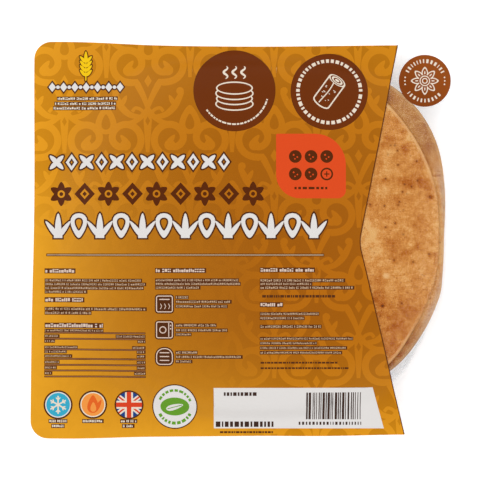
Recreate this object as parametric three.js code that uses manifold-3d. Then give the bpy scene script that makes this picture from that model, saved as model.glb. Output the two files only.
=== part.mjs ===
// A sealed film pack of round tandoori breads, lying with its shown side up.
// Millimetres, +Z up. The origin is under the middle of the pack, on the surface it lies on.
import * as THREE from 'three';
import { mergeVertices } from 'three/addons/utils/BufferGeometryUtils.js';
import Module from 'manifold-3d';

const wasm = await Module();
wasm.setup();

// The sealed rim: two films welded flat all round, its left side a little wider at the foot.
const rim = {
  rightX: 120.6,
  bottomLeftX: -120.6,
  topLeftX: -118.2,
  topLeftY: 109.3,
  topRightY: 107.2,
  bottomLeftY: -109.3,
  bottomRightY: -107.2,
  flareX: -58,            // left of here the top edge rises to its corner
  cornerRadius: 9.5,
  underside: 12.4,
  thickness: 0.6,
};

// The pocket formed in the lower film: a squared-off circle with sloping walls.
const pocket = {
  x: 1.65,
  y: 0.9,
  halfWidth: 107.8,
  halfLength: 98.8,
  squareness: 3.0,
  shoulderInset: 1.0,     // the wall just under the rim
  wallInset: 2.6,         // the wall near its foot
  footInset: 5.2,         // the rounded foot
  floorInset: 8.5,        // the flat that the pack lies on
  footHeight: 3.6,
  footCurve: 0.9,
};

// The top two breads of the stack. Each is a circle, placed from the pocket's middle and
// pressed in where the wall stops it.
const frontBread = { x: 4.3, y: 3.1, radius: 99.8, wallGap: 4.6, squeeze: 2.5, top: 17.1 };
const secondBread = { x: 8.9, y: 8.9, radius: 104.6, wallGap: 0.8, squeeze: 1.2, top: 14.3 };
const leastSpread = 2.5;  // the film slopes off the front bread over at least this width
const stackCrown = 1.5;   // how far the middle stands over the front bread's edge
const rippleDepth = 0.45; // slow waves of the soft breads under the film

// The printed part of the upper film ends in a shallow notch; a disc is printed beyond it.
const print = {
  thickness: 0.5,
  clearance: 0.3,
  topX: 82.2,
  notchX: 60.5,
  notchY: -1.5,
  bottomX: 85.8,
};
const badge = { x: 96.9, y: 87.5, radius: 14.3 };

const loftSegments = 96;
const farOutside = 20;    // cutters reach this far past the rim

// The lower of two lengths, with a rounded change-over about as long as the blend.
function softMin(a, b, blend) {
  const share = Math.max(blend - Math.abs(a - b), 0) / blend;
  return Math.min(a, b) - (share * share * blend) / 4;
}

// Distance from the pocket's middle to its wall at the rim.
function pocketRadius(angle) {
  const across = Math.abs(Math.cos(angle)) / pocket.halfWidth;
  const along = Math.abs(Math.sin(angle)) / pocket.halfLength;
  return (across ** pocket.squareness + along ** pocket.squareness) ** (-1 / pocket.squareness);
}

// Distance from the pocket's middle to a bread's edge.
function breadRadius(bread, angle) {
  const offset = Math.hypot(bread.x, bread.y);
  const turn = angle - Math.atan2(bread.y, bread.x);
  const aside = offset * Math.sin(turn);
  const round = offset * Math.cos(turn) + Math.sqrt(bread.radius ** 2 - aside ** 2);
  return softMin(round, pocketRadius(angle) - bread.wallGap, bread.squeeze);
}

// Slow waves over the stack, as its breads are never quite flat.
function ripple(x, y) {
  return rippleDepth * Math.sin(x / 17 + 0.6 * Math.sin(y / 31)) * Math.cos(y / 21 - x / 60);
}

// A closed solid through rings from the floor's middle to the top's middle. Each ring has a
// height and a distance from the pocket's middle for every angle.
function loft(rings) {
  const profile = rings.map((ring, i) => new THREE.Vector2(ring.radius ? 1 : 0, i));
  const lathe = new THREE.LatheGeometry(profile, loftSegments);
  const position = lathe.attributes.position;
  for (let i = 0; i < position.count; i++) {
    const ring = rings[i % rings.length];
    const step = Math.floor(i / rings.length) % loftSegments;
    const angle = (step / loftSegments) * 2 * Math.PI;
    const radius = ring.radius ? ring.radius(angle) : 0;
    const x = pocket.x + radius * Math.cos(angle);
    const y = pocket.y + radius * Math.sin(angle);
    position.setXYZ(i, x, y, ring.z + (ring.waves ?? 0) * ripple(x, y));
  }
  return lathe;
}

// The body of the pack: the stack of breads with the films drawn tight under and over it.
function stackGeometry() {
  const front = (angle) => breadRadius(frontBread, angle);
  const second = (angle) => Math.max(breadRadius(secondBread, angle), front(angle) + leastSpread);
  const between = (share) => (angle) => front(angle) + share * (second(angle) - front(angle));
  const wall = (inset) => (angle) => pocketRadius(angle) - inset;
  const crownShares = [0.88, 0.75, 0.6, 0.4, 0.2];
  return loft([
    { z: 0 },
    { radius: wall(pocket.floorInset), z: 0 },
    { radius: wall(pocket.footInset), z: pocket.footCurve },
    { radius: wall(pocket.wallInset), z: pocket.footHeight },
    { radius: wall(pocket.shoulderInset), z: rim.underside - 2.5 },
    { radius: wall(0), z: rim.underside + rim.thickness / 2 },
    { radius: second, z: rim.underside + rim.thickness + 0.3 },
    { radius: between(0.8), z: secondBread.top - 0.4 },
    { radius: between(0.3), z: secondBread.top },
    { radius: front, z: secondBread.top + 0.6 },
    { radius: (angle) => front(angle) - 1.2, z: frontBread.top - 0.7 },
    { radius: (angle) => front(angle) - 3.2, z: frontBread.top - 0.1, waves: 0.5 },
    ...crownShares.map((share) => ({
      radius: (angle) => share * front(angle),
      z: frontBread.top + stackCrown * (1 - share * share),
      waves: 1,
    })),
    { z: frontBread.top + stackCrown, waves: 1 },
  ]);
}

// An outline through its corners, taken in order, with each corner rounded to a radius.
function roundedOutline(corners) {
  const handle = 0.45;
  const shape = new THREE.Shape();
  corners.forEach(({ at, radius }, i) => {
    const before = corners.at(i - 1).at;
    const after = corners[(i + 1) % corners.length].at;
    const start = at.clone().lerp(before, radius / at.distanceTo(before));
    const end = at.clone().lerp(after, radius / at.distanceTo(after));
    const startHandle = at.clone().lerp(start, handle);
    const endHandle = at.clone().lerp(end, handle);
    if (i === 0) shape.moveTo(start.x, start.y);
    else shape.lineTo(start.x, start.y);
    shape.bezierCurveTo(startHandle.x, startHandle.y, endHandle.x, endHandle.y, end.x, end.y);
  });
  shape.closePath();
  return shape;
}

// The flat rim, from edge to edge of the pack.
function rimGeometry() {
  const corner = (x, y, radius = rim.cornerRadius) => ({ at: new THREE.Vector2(x, y), radius });
  const outline = roundedOutline([
    corner(rim.bottomLeftX, rim.bottomLeftY),
    corner(rim.rightX, rim.bottomRightY),
    corner(rim.rightX, rim.topRightY),
    corner(rim.flareX, rim.topRightY, 30),
    corner(rim.topLeftX, rim.topLeftY),
  ]);
  const flat = new THREE.ExtrudeGeometry(outline, {
    depth: rim.thickness,
    bevelEnabled: false,
    curveSegments: 10,
  });
  return flat.translate(0, 0, rim.underside);
}

// A vertical prism over an outline, to cut the printed film from the whole upper skin.
function cutter(outline) {
  return new THREE.ExtrudeGeometry(outline, {
    depth: frontBread.top + farOutside,
    bevelEnabled: false,
    curveSegments: 32,
  });
}

// The printed panel seen from above: everything left of the notched edge.
function printOutline() {
  const left = rim.bottomLeftX - farOutside;
  const top = rim.topLeftY + farOutside;
  const bottom = rim.bottomLeftY - farOutside;
  const topReach = (top - print.notchY) / (rim.topRightY - print.notchY);
  const bottomReach = (bottom - print.notchY) / (rim.bottomRightY - print.notchY);
  return new THREE.Shape([
    new THREE.Vector2(left, bottom),
    new THREE.Vector2(print.notchX + bottomReach * (print.bottomX - print.notchX), bottom),
    new THREE.Vector2(print.notchX, print.notchY),
    new THREE.Vector2(print.notchX + topReach * (print.topX - print.notchX), top),
    new THREE.Vector2(left, top),
  ]);
}

function badgeOutline() {
  const outline = new THREE.Shape();
  outline.absarc(badge.x, badge.y, badge.radius, 0, 2 * Math.PI);
  return outline;
}

// A three.js geometry as a solid that can be joined and cut.
function toSolid(geometry) {
  const bare = geometry.clone();
  bare.deleteAttribute('normal');
  bare.deleteAttribute('uv');
  const merged = mergeVertices(bare, 1e-3);
  const index = Array.from(merged.index.array);
  const kept = [];
  for (let i = 0; i < index.length; i += 3) {
    const [a, b, c] = index.slice(i, i + 3);
    if (a !== b && b !== c && c !== a) kept.push(a, b, c);
  }
  return new wasm.Manifold(new wasm.Mesh({
    numProp: 3,
    vertProperties: merged.attributes.position.array,
    triVerts: new Uint32Array(kept),
  }));
}

// A solid back as a three.js geometry.
function toGeometry(solid) {
  const mesh = solid.getMesh();
  const geometry = new THREE.BufferGeometry();
  geometry.setAttribute('position', new THREE.BufferAttribute(mesh.vertProperties, 3));
  geometry.setIndex(new THREE.BufferAttribute(mesh.triVerts, 1));
  geometry.computeVertexNormals();
  return geometry;
}

function namedMesh(name, geometry, color, roughness) {
  const material = new THREE.MeshStandardMaterial({ color, roughness, metalness: 0 });
  const mesh = new THREE.Mesh(geometry, material);
  mesh.name = name;
  return mesh;
}

const packGeometry = toGeometry(toSolid(stackGeometry()).add(toSolid(rimGeometry())));

// A thin skin over the whole top of the pack, from which the printed areas are cut.
const skinUnder = toSolid(packGeometry.clone().translate(0, 0, print.clearance));
const skinOver = toSolid(packGeometry.clone().translate(0, 0, print.clearance + print.thickness));
const skin = skinOver.subtract(skinUnder);
const panelGeometry = toGeometry(skin.intersect(toSolid(cutter(printOutline()))));
const badgeGeometry = toGeometry(skin.intersect(toSolid(cutter(badgeOutline()))));

const group = new THREE.Group();
group.add(namedMesh('sealed_pack', packGeometry, 0xce8a4c, 0.45));
group.add(namedMesh('printed_panel', panelGeometry, 0xc4892f, 0.35));
group.add(namedMesh('round_badge', badgeGeometry, 0xa04b14, 0.35));

export default group;
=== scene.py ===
import math
import random

import bpy
import numpy as np
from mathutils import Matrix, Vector
from mathutils.geometry import delaunay_2d_cdt


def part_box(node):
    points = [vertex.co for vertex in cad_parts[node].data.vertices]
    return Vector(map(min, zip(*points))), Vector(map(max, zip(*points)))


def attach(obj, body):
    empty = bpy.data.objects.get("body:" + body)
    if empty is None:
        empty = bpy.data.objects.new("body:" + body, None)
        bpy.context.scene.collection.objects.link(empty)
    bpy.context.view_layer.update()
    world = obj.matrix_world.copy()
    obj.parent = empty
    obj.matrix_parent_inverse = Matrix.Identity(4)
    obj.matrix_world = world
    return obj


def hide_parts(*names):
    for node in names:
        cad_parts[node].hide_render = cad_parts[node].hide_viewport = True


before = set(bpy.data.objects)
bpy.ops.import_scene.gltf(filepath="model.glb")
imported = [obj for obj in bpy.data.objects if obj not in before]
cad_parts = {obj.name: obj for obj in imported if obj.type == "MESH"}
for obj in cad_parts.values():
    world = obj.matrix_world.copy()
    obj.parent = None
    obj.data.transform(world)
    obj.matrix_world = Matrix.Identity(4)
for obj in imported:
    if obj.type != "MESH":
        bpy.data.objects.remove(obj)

# A sealed film pack of tandoori rotis lying shown side up. The script works in millimetres,
# X to the right of the print, Y to its top, Z up, and writes metres.
mm = 0.001
tau = 2 * math.pi
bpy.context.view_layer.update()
packLow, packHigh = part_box("sealed_pack")
print("frame loaded, pack", [round((h - l) / mm, 1) for l, h in zip(packLow, packHigh)], "mm")

rim = {
    "rightX": packHigh[0] / mm,
    "leftBottomX": packLow[0] / mm,
    "leftTopX": -118.2,
    "topLeftY": packHigh[1] / mm,
    "topRightY": 107.2,
    "bottomLeftY": packLow[1] / mm,
    "bottomRightY": -107.2,
    "flareX": -58.0,         # left of here the top edge rises to its corner
    "flareRound": 30.0,
    "cornerRound": 9.5,
    "height": 13.05,         # top of the weld
    # the soft films' edges aren't quite straight: middle, half length and depth inwards
    "leftBows": [(20, 85, 0.8)],
    "topBows": [(5, 95, 0.8), (-90, 40, -0.65)],
    "bottomBows": [(-95, 42, -0.65), (42, 42, -0.4)],
    "bowStart": (14, 4),     # how far inside an edge its bow begins, and is full
    "bowOut": 0.8,           # the farthest that the lower edge bows out
}
pocket = {"x": 1.65, "y": 0.9, "halfWidth": 107.8, "halfLength": 98.8, "squareness": 3.0}
# each bread is a circle placed from the pocket's middle and pressed in where the wall stops it;
# bends are places where its edge is fuller or slacker, as angle, width and depth
frontBread = {"x": 4.3, "y": 3.1, "radius": 99.8, "wallGap": 4.6, "squeeze": 2.5, "bends": [(-41, 8, 1.6)]}
secondBread = {"x": 8.9, "y": 8.9, "radius": 104.6, "wallGap": 0.8, "squeeze": 1.2,
               "bends": [(-41, 11, 1.9), (-14, 9, -1.6), (0, 8, -0.9), (26, 10, 0.6)]}
stack = {
    "edgeTop": 17.1, "crown": 1.5, "leastSpread": 2.5, "secondTop": 13.75,
    "thinning": 1.3, "thinFrom": 0.86,     # the front bread thins towards its edge
    "ripple": 0.45, "rippleX": 17, "rippleY": 21, "swayY": 31, "drift": 60,
}
notch = {"topX": 82.2, "x": 60.5, "y": -1.5, "bottomX": 85.8, "round": 5.0}


def softMin(a, b, blend):
    share = np.maximum(blend - np.abs(a - b), 0) / blend
    return np.minimum(a, b) - share * share * blend / 4


def smooth(x, low, high):
    t = np.clip((x - low) / (high - low), 0, 1)
    return t * t * (3 - 2 * t)


def pocketRadius(angle):
    across = np.abs(np.cos(angle)) / pocket["halfWidth"]
    along = np.abs(np.sin(angle)) / pocket["halfLength"]
    n = pocket["squareness"]
    return (across ** n + along ** n) ** (-1 / n)


def breadRadius(bread, angle):
    offset = math.hypot(bread["x"], bread["y"])
    turn = angle - math.atan2(bread["y"], bread["x"])
    aside = offset * np.sin(turn)
    edge = offset * np.cos(turn) + np.sqrt(bread["radius"] ** 2 - aside ** 2)
    for count, depth, phase in bread.get("waves", ()):
        edge = edge + depth * np.sin(count * angle + phase)
    edge = softMin(edge, pocketRadius(angle) - bread["wallGap"], bread["squeeze"])
    for at, width, depth in bread.get("bends", ()):
        away = (np.degrees(angle) - at + 180) % 360 - 180
        edge = edge + depth * np.exp(-(away / width) ** 2)
    return edge


def aboutPocket(x, y):
    dx, dy = np.asarray(x) - pocket["x"], np.asarray(y) - pocket["y"]
    return np.arctan2(dy, dx), np.hypot(dx, dy)


def fromPocket(radius, angle):
    return pocket["x"] + radius * np.cos(angle), pocket["y"] + radius * np.sin(angle)


def lumps(x, y, cell, seed, octaves=1):
    # repeatable soft noise between -1 and 1, with lumps about one cell wide
    total, weight, amount = np.zeros(np.shape(x)), 0.0, 1.0
    for octave in range(octaves):
        table = np.random.default_rng(seed + 31 * octave).uniform(-1, 1, (64, 64))
        u, v = np.asarray(x) / cell + 1000, np.asarray(y) / cell + 1000
        iu, iv = np.floor(u).astype(int), np.floor(v).astype(int)
        fu, fv = u - iu, v - iv
        fu, fv = fu * fu * (3 - 2 * fu), fv * fv * (3 - 2 * fv)
        low = table[iu % 64, iv % 64] * (1 - fu) + table[(iu + 1) % 64, iv % 64] * fu
        high = table[iu % 64, (iv + 1) % 64] * (1 - fu) + table[(iu + 1) % 64, (iv + 1) % 64] * fu
        total += amount * (low * (1 - fv) + high * fv)
        weight += amount
        amount *= 0.5
        cell *= 0.5
    return total / weight


def ripple(x, y):
    # slow waves of the soft breads
    s = stack
    along = x / s["rippleX"] + 0.6 * np.sin(y / s["swayY"])
    return s["ripple"] * np.sin(along) * np.cos(y / s["rippleY"] - x / s["drift"])


def crownHeight(x, y):
    # top of the stack if the front bread had no edge, and were as thick all over
    angle, radius = aboutPocket(x, y)
    share = radius / breadRadius(frontBread, angle)
    return stack["edgeTop"] + stack["crown"] * (1 - share ** 2) + ripple(x, y) * smooth(share, 1.02, 0.85)


def thinning(x, y):
    # how much the front bread has thinned at a place
    angle, radius = aboutPocket(x, y)
    share = radius / breadRadius(frontBread, angle)
    return stack["thinning"] * np.clip((share - stack["thinFrom"]) / (1 - stack["thinFrom"]), 0, 1.2) ** 2


def throughKnots(knots, levels, at):
    # a smooth curve through knots that never overshoots; each point has its own knots
    steps = [np.maximum(b - a, 1e-6) for a, b in zip(knots, knots[1:])]
    slopes = [(b - a) / s for a, b, s in zip(levels, levels[1:], steps)]
    bends = [0 * slopes[0]]
    for a, b in zip(slopes, slopes[1:]):
        same = a * b > 0
        bends.append(np.where(same, 2 * a * b / np.where(same, a + b, 1), 0))
    bends.append(0 * slopes[0])
    result = np.where(at <= knots[0], levels[0], levels[-1]) + 0 * at
    for k, step in enumerate(steps):
        t = (at - knots[k]) / step
        inside = (t >= 0) & (t <= 1)
        t = np.clip(t, 0, 1)
        value = (levels[k] * (2 * t ** 3 - 3 * t ** 2 + 1) + step * bends[k] * (t ** 3 - 2 * t ** 2 + t)
                 + levels[k + 1] * (3 * t ** 2 - 2 * t ** 3) + step * bends[k + 1] * (t ** 3 - t ** 2))
        result = np.where(inside, value, result)
    return result


upperFilm = {
    "lift": 0.2,             # over the breads
    "thickness": 0.09,
    "wrinkle": 0.09, "wrinkleSize": 26,
    "pucker": 0.14,          # small folds where the film runs down to the weld
    "puckers": 46,           # of them round the pack
    "rimWave": 0.05,
    "letGo": 4.5,            # how far inside the front bread's edge the taut film leaves it
    "leave": 0.6,            # how far it has come down by then
    "weldStart": 0.8,        # from the pocket's wall
    "softness": 2.4,         # reach over which the ink layer evens out the shading of the printed part
}


def secondReach(front, angle):
    # the second bread's edge, never quite under the front bread's
    return np.maximum(breadRadius(secondBread, angle), front + stack["leastSpread"])


def filmHeight(x, y):
    # height of the upper film's outer face
    f = upperFilm
    x, y = np.asarray(x, float), np.asarray(y, float)
    angle, radius = aboutPocket(x, y)
    front = breadRadius(frontBread, angle)
    second = secondReach(front, angle)
    wall = pocketRadius(angle)
    inner = front - f["letGo"]
    innerX, innerY = fromPocket(inner, angle)
    top = crownHeight(innerX, innerY) - thinning(innerX, innerY)
    foot = rim["height"]
    leave = top - f["leave"]
    edge = wall + f["weldStart"]

    def taut(at):     # the straight run from the front bread's edge down to the weld
        return foot + (leave - foot) * (edge - at) / (edge - front + 1.0)

    knots = [inner, front - 1.0, front + 0.4 * (second - front), second - 1.6, edge]
    levels = [top, leave, taut(knots[2]), np.maximum(taut(knots[3]), stack["secondTop"]), 0 * top + foot]
    outside = throughKnots(knots, levels, radius)
    height = np.where(radius < inner, crownHeight(x, y) - thinning(x, y), outside)
    slope = smooth(radius, front - 4, front + 4) * smooth(radius, wall + 9, wall - 1)
    folds = np.sin(angle * f["puckers"] + 3 * lumps(x, y, 22, 5)) * lumps(x, y, 17, 9)
    creases = lumps(x, y, f["wrinkleSize"], 3, 3)
    flat = smooth(radius, wall + 1, wall + 6)
    lift = f["lift"] * smooth(radius, wall, front - 2)
    return (height + lift + f["pucker"] * slope * folds + f["wrinkle"] * creases * (1 - 0.7 * flat)
            + f["rimWave"] * flat * lumps(x, y, 40, 12))


# outlines, as lists of (x, y)
def disc(cx, cy, radius, points=0, squash=1.0):
    points = points or max(14, int(radius * 7))
    return [(cx + radius * math.cos(tau * i / points), cy + squash * radius * math.sin(tau * i / points))
            for i in range(points)]


def onCircle(cx, cy, radius, angle):
    return (cx + radius * math.cos(angle), cy + radius * math.sin(angle))


def block(left, bottom, right, top):
    return [(left, bottom), (right, bottom), (right, top), (left, top)]


def roundedPath(corners, perCorner=9):
    path = []
    for i, (x, y, radius) in enumerate(corners):
        here = Vector((x, y))
        before = Vector(corners[i - 1][:2])
        after = Vector(corners[(i + 1) % len(corners)][:2])
        start = here + (before - here).normalized() * radius
        end = here + (after - here).normalized() * radius
        handleA, handleB = start.lerp(here, 0.55), end.lerp(here, 0.55)
        for k in range(perCorner + 1):
            t = k / perCorner
            p = (start * (1 - t) ** 3 + handleA * 3 * t * (1 - t) ** 2
                 + handleB * 3 * t * t * (1 - t) + end * t ** 3)
            path.append((p.x, p.y))
    return path


def roundedBlock(left, bottom, right, top, rounds, perCorner=4):
    # the roundings go round from the lower left, as the corners do
    corners = [(x, y, radius) for (x, y), radius in zip(block(left, bottom, right, top), rounds)]
    return roundedPath(corners, perCorner)


def stroke(path, widths):
    # a band along a path; one width, or one for every point
    path = [Vector(p) for p in path]
    widths = [widths] * len(path) if isinstance(widths, (int, float)) else widths
    left, right = [], []
    for i, p in enumerate(path):
        along = (path[min(i + 1, len(path) - 1)] - path[max(i - 1, 0)]).normalized()
        side = Vector((-along.y, along.x)) * widths[i] / 2
        left.append(tuple(p + side))
        right.append(tuple(p - side))
    return right + left[::-1]


def curve(points, perSpan=6):
    # a smooth path through a few points
    points = [Vector(p) for p in points]
    padded = [2 * points[0] - points[1]] + points + [2 * points[-1] - points[-2]]
    path = []
    for a, b, c, d in zip(padded, padded[1:], padded[2:], padded[3:]):
        for k in range(perSpan):
            t = k / perSpan
            p = 0.5 * (2 * b + (c - a) * t + (2 * a - 5 * b + 4 * c - d) * t * t
                       + (3 * b - a - 3 * c + d) * t ** 3)
            path.append((p.x, p.y))
    path.append(tuple(points[-1]))
    return path


def leaf(cx, cy, length, width, degrees, points=16):
    # pointed at both ends, its root at (cx, cy)
    turn = math.radians(degrees)
    c, s = math.cos(turn), math.sin(turn)
    out = []
    for i in range(points):
        t = i / points
        along = 0.5 - 0.5 * math.cos(tau * t)
        across = 0.5 * width * math.sin(tau * t) * (0.75 + 0.25 * math.cos(tau * t))
        u, v = along * length, across
        out.append((cx + u * c - v * s, cy + u * s + v * c))
    return out


def drop(cx, bottom, top, width, points=20):
    # a teardrop with its point up
    out = []
    for i in range(points):
        t = i / points
        y = 0.5 - 0.5 * math.cos(tau * t)
        x = 0.5 * width * math.sin(tau * t) * (1.2 - 0.75 * y)
        out.append((cx - x, bottom + y * (top - bottom)))
    return out


def lozenge(cx, cy, width, height):
    return [(cx - width / 2, cy), (cx, cy - height / 2), (cx + width / 2, cy), (cx, cy + height / 2)]


def grown(outline, margin):
    # the outline moved outwards by a margin
    outline = facingUp(outline)
    out = []
    for i, p in enumerate(outline):
        a, b, c = Vector(outline[i - 1]), Vector(p), Vector(outline[(i + 1) % len(outline)])
        u, v = (b - a).normalized(), (c - b).normalized()
        away = Vector((u.y + v.y, -u.x - v.x))
        away = away / max(away.length_squared / 2, 0.5)
        out.append(tuple(b + away * margin))
    return out


def facingUp(outline):
    area = sum(a[0] * b[1] - b[0] * a[1] for a, b in zip(outline, outline[1:] + outline[:1]))
    return outline if area > 0 else outline[::-1]


def moved(outline, dx, dy, mirror=False):
    return [((-x if mirror else x) + dx, y + dy) for x, y in outline]


def hexPoints(left, bottom, right, top, pitch, seed, keep):
    # an even scatter of points, a little off their grid, where keep says so
    rng = np.random.default_rng(seed)
    rows = np.arange(bottom, top, pitch * 0.87)
    columns = np.arange(left, right, pitch)
    x = (columns[None, :] + (np.arange(len(rows)) % 2)[:, None] * pitch / 2).ravel()
    y = np.repeat(rows, len(columns))
    x = x + rng.uniform(-0.12, 0.12, x.shape) * pitch
    y = y + rng.uniform(-0.12, 0.12, y.shape) * pitch
    wanted = keep(x, y)
    return list(zip(x[wanted], y[wanted]))


def cutSheet(boundary, layers, loose):
    # cuts the area inside a boundary along every outline, and gives each face its topmost layer
    outlines = [facingUp(boundary)] + [facingUp(outline) for _, outline in layers]
    points, loops = [], []
    for outline in outlines:
        loops.append(list(range(len(points), len(points) + len(outline))))
        points += outline
    points += loose
    verts, _, tris, _, _, owners = delaunay_2d_cdt([Vector(p) for p in points], [], loops, 0, 1e-5)
    kept = [(tri, max(owner)) for tri, owner in zip(tris, owners) if 0 in owner]
    used = sorted({v for tri, _ in kept for v in tri})
    place = {v: i for i, v in enumerate(used)}
    flat = np.array([verts[v] for v in used])
    faces = [tuple(place[v] for v in tri) for tri, _ in kept]
    inks = [layers[owner - 1][0] if owner else None for _, owner in kept]
    return flat, faces, inks


def slopesOf(height, x, y, step=0.25):
    dx = (height(x + step, y) - height(x - step, y)) / (2 * step)
    dy = (height(x, y + step) - height(x, y - step)) / (2 * step)
    normal = np.stack([-dx, -dy, np.ones_like(dx)], axis=1)
    return normal / np.linalg.norm(normal, axis=1, keepdims=True)


def makeObject(name, points, faces, materials, slots=None, normals=None, replaces=(), slot=None):
    mesh = bpy.data.meshes.new(name)
    mesh.from_pydata((np.asarray(points) * mm).tolist(), [], faces)
    for material in materials:
        mesh.materials.append(material)
    if slots is not None:
        mesh.polygons.foreach_set("material_index", slots)
    mesh.polygons.foreach_set("use_smooth", [True] * len(faces))
    mesh.update()
    if normals is not None:
        mesh.normals_split_custom_set_from_vertices(normals.tolist())
    piece = bpy.data.objects.new(name, mesh)
    bpy.context.scene.collection.objects.link(piece)
    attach(piece, "root")
    if replaces:
        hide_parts(*replaces)
    return piece


def filmSheet(name, flat, faces, inks, height, thickness, materials, softness=0.25, **links):
    # a thin closed film: outer face, inner face and the cut edge between them
    x, y = flat[:, 0], flat[:, 1]
    normals = slopesOf(height, x, y, softness)
    outer = np.column_stack([x, y, height(x, y)])
    inner = outer - normals * thickness
    count = len(flat)
    edges = {}
    for face in faces:
        for a, b in zip(face, face[1:] + face[:1]):
            edges[(a, b)] = True
    rims = [(a, b) for a, b in edges if (b, a) not in edges]
    allFaces = list(faces) + [tuple(v + count for v in reversed(face)) for face in faces]
    allFaces += [(b, a, a + count, b + count) for a, b in rims]
    names = list(materials)
    order = [names.index(ink) for ink in inks]
    slots = order + order + [order[0]] * len(rims)
    both = np.vstack([normals, -normals])
    points = np.vstack([outer, inner])
    return makeObject(name, points, allFaces, list(materials.values()), slots, both, **links)


# materials
light = 1.14     # how bright the studio makes a white sheet; colours are given as they look in it


def linear(red, green, blue):
    def one(value):
        value = value / 255
        value = value / 12.92 if value <= 0.04045 else ((value + 0.055) / 1.055) ** 2.4
        return max(value - 0.004, 0.0) / light
    return (one(red), one(green), one(blue), 1.0)


class Nodes:
    # a short hand for building node trees
    def __init__(self, tree):
        self.tree = tree

    def add(self, kind, settings=None, **inputs):
        node = self.tree.nodes.new(kind)
        for key, value in (settings or {}).items():
            setattr(node, key, value)
        for key, value in inputs.items():
            self.feed(node.inputs[key.replace("_", " ")], value)
        return node

    def feed(self, socket, value):
        if isinstance(value, bpy.types.NodeSocket):
            self.tree.links.new(value, socket)
        else:
            socket.default_value = value

    def math(self, operation, *values, clamp=False):
        node = self.tree.nodes.new("ShaderNodeMath")
        node.operation, node.use_clamp = operation, clamp
        for socket, value in zip(node.inputs, values):
            self.feed(socket, value)
        return node.outputs[0]

    def mix(self, factor, a, b, blend="MIX"):
        node = self.tree.nodes.new("ShaderNodeMix")
        node.data_type, node.blend_type = "RGBA", blend
        self.feed(node.inputs["Factor"], factor)
        self.feed(node.inputs[6], a)
        self.feed(node.inputs[7], b)
        return node.outputs[2]

    def ramp(self, factor, stops):
        node = self.tree.nodes.new("ShaderNodeValToRGB")
        elements = node.color_ramp.elements
        while len(elements) < len(stops):
            elements.new(0.5)
        for element, (place, colour) in zip(elements, stops):
            element.position, element.color = place, colour
        self.feed(node.inputs[0], factor)
        return node.outputs["Color"]

    def span(self, value, low, high, toLow=0.0, toHigh=1.0):
        node = self.tree.nodes.new("ShaderNodeMapRange")
        node.interpolation_type = "SMOOTHSTEP"
        for socket, number in zip(node.inputs, (value, low, high, toLow, toHigh)):
            self.feed(socket, number)
        return node.outputs["Result"]

    def scaled(self, vector, scale):
        node = self.add("ShaderNodeVectorMath", {"operation": "SCALE"}, Vector=vector, Scale=scale)
        return node.outputs[0]

    def places(self):
        # object coordinates in millimetres
        return self.scaled(self.add("ShaderNodeTexCoord").outputs["Object"], 1 / mm)

    def attribute(self, name):
        return self.add("ShaderNodeAttribute", {"attribute_name": name}).outputs["Fac"]

    def noise(self, vector, scale, detail=2.0, roughness=0.5):
        node = self.add("ShaderNodeTexNoise", Vector=vector, Scale=scale, Detail=detail, Roughness=roughness)
        return node.outputs["Fac"]

    def mixShader(self, factor, a, b):
        node = self.add("ShaderNodeMixShader", Fac=factor)
        self.feed(node.inputs[1], a.outputs[0])
        self.feed(node.inputs[2], b.outputs[0])
        return node


def newMaterial(name):
    material = bpy.data.materials.new(name)
    material.use_nodes = True
    material.node_tree.nodes.clear()
    return material, Nodes(material.node_tree)


def newGroup(name, inputs, outputs):
    group = bpy.data.node_groups.new(name, "ShaderNodeTree")
    for kind, label, value in inputs:
        socket = group.interface.new_socket(label, in_out="INPUT", socket_type=kind)
        socket.default_value = value
    for kind, label in outputs:
        group.interface.new_socket(label, in_out="OUTPUT", socket_type=kind)
    nodes = Nodes(group)
    entry = group.nodes.new("NodeGroupInput")
    leave = group.nodes.new("NodeGroupOutput")
    return group, nodes, entry.outputs, leave.inputs


def makePrintGrain():
    # the small unevenness of ink on film, and the film's faint crinkle under it
    group, nodes, given, result = newGroup(
        "printGrain",
        [("NodeSocketColor", "Color", (1, 1, 1, 1)), ("NodeSocketFloat", "Amount", 0.05)],
        [("NodeSocketColor", "Color"), ("NodeSocketFloat", "Height")])
    place = nodes.places()
    fine = nodes.noise(place, 1.6, 3.0, 0.6)
    broad = nodes.noise(place, 0.05, 2.0)
    both = nodes.math("ADD", nodes.math("MULTIPLY", fine, 0.6), nodes.math("MULTIPLY", broad, 0.4))
    shade = nodes.math("MULTIPLY_ADD", nodes.math("SUBTRACT", both, 0.5), given["Amount"], 1.0)
    nodes.feed(result["Color"], nodes.scaled(given["Color"], shade))
    crinkle = nodes.noise(place, 0.22, 3.0, 0.55)
    nodes.feed(result["Height"], nodes.math("ADD", crinkle, nodes.math("MULTIPLY", fine, 0.04)))
    return group


goldPaintedShade = {
    # painted shade and light: the gold is drawn darkest at one place and lighter out to its edges, over these
    # reaches
    "darkestX": 32.5, "darkestY": -20.0,
    "left": 150.0, "right": 101.0, "up": 166.0, "down": 91.0, "steep": 2.8, "least": 0.15,
    # ink colours where the painted shade is deepest and where the painted light is brightest
    "patternDeep": (176, 96, 12), "patternBright": (236, 160, 32),
    "groundDeep": (155, 82, 6), "groundBright": (213, 141, 20),
    "plainDeep": (153, 79, 8), "plainBright": (238, 167, 40),
    "fadeX": (30.0, -22.0), "fadeY": (50.0, -8.0),     # left of and under these the pattern is lost
    "fade": 0.9,
}


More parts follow.
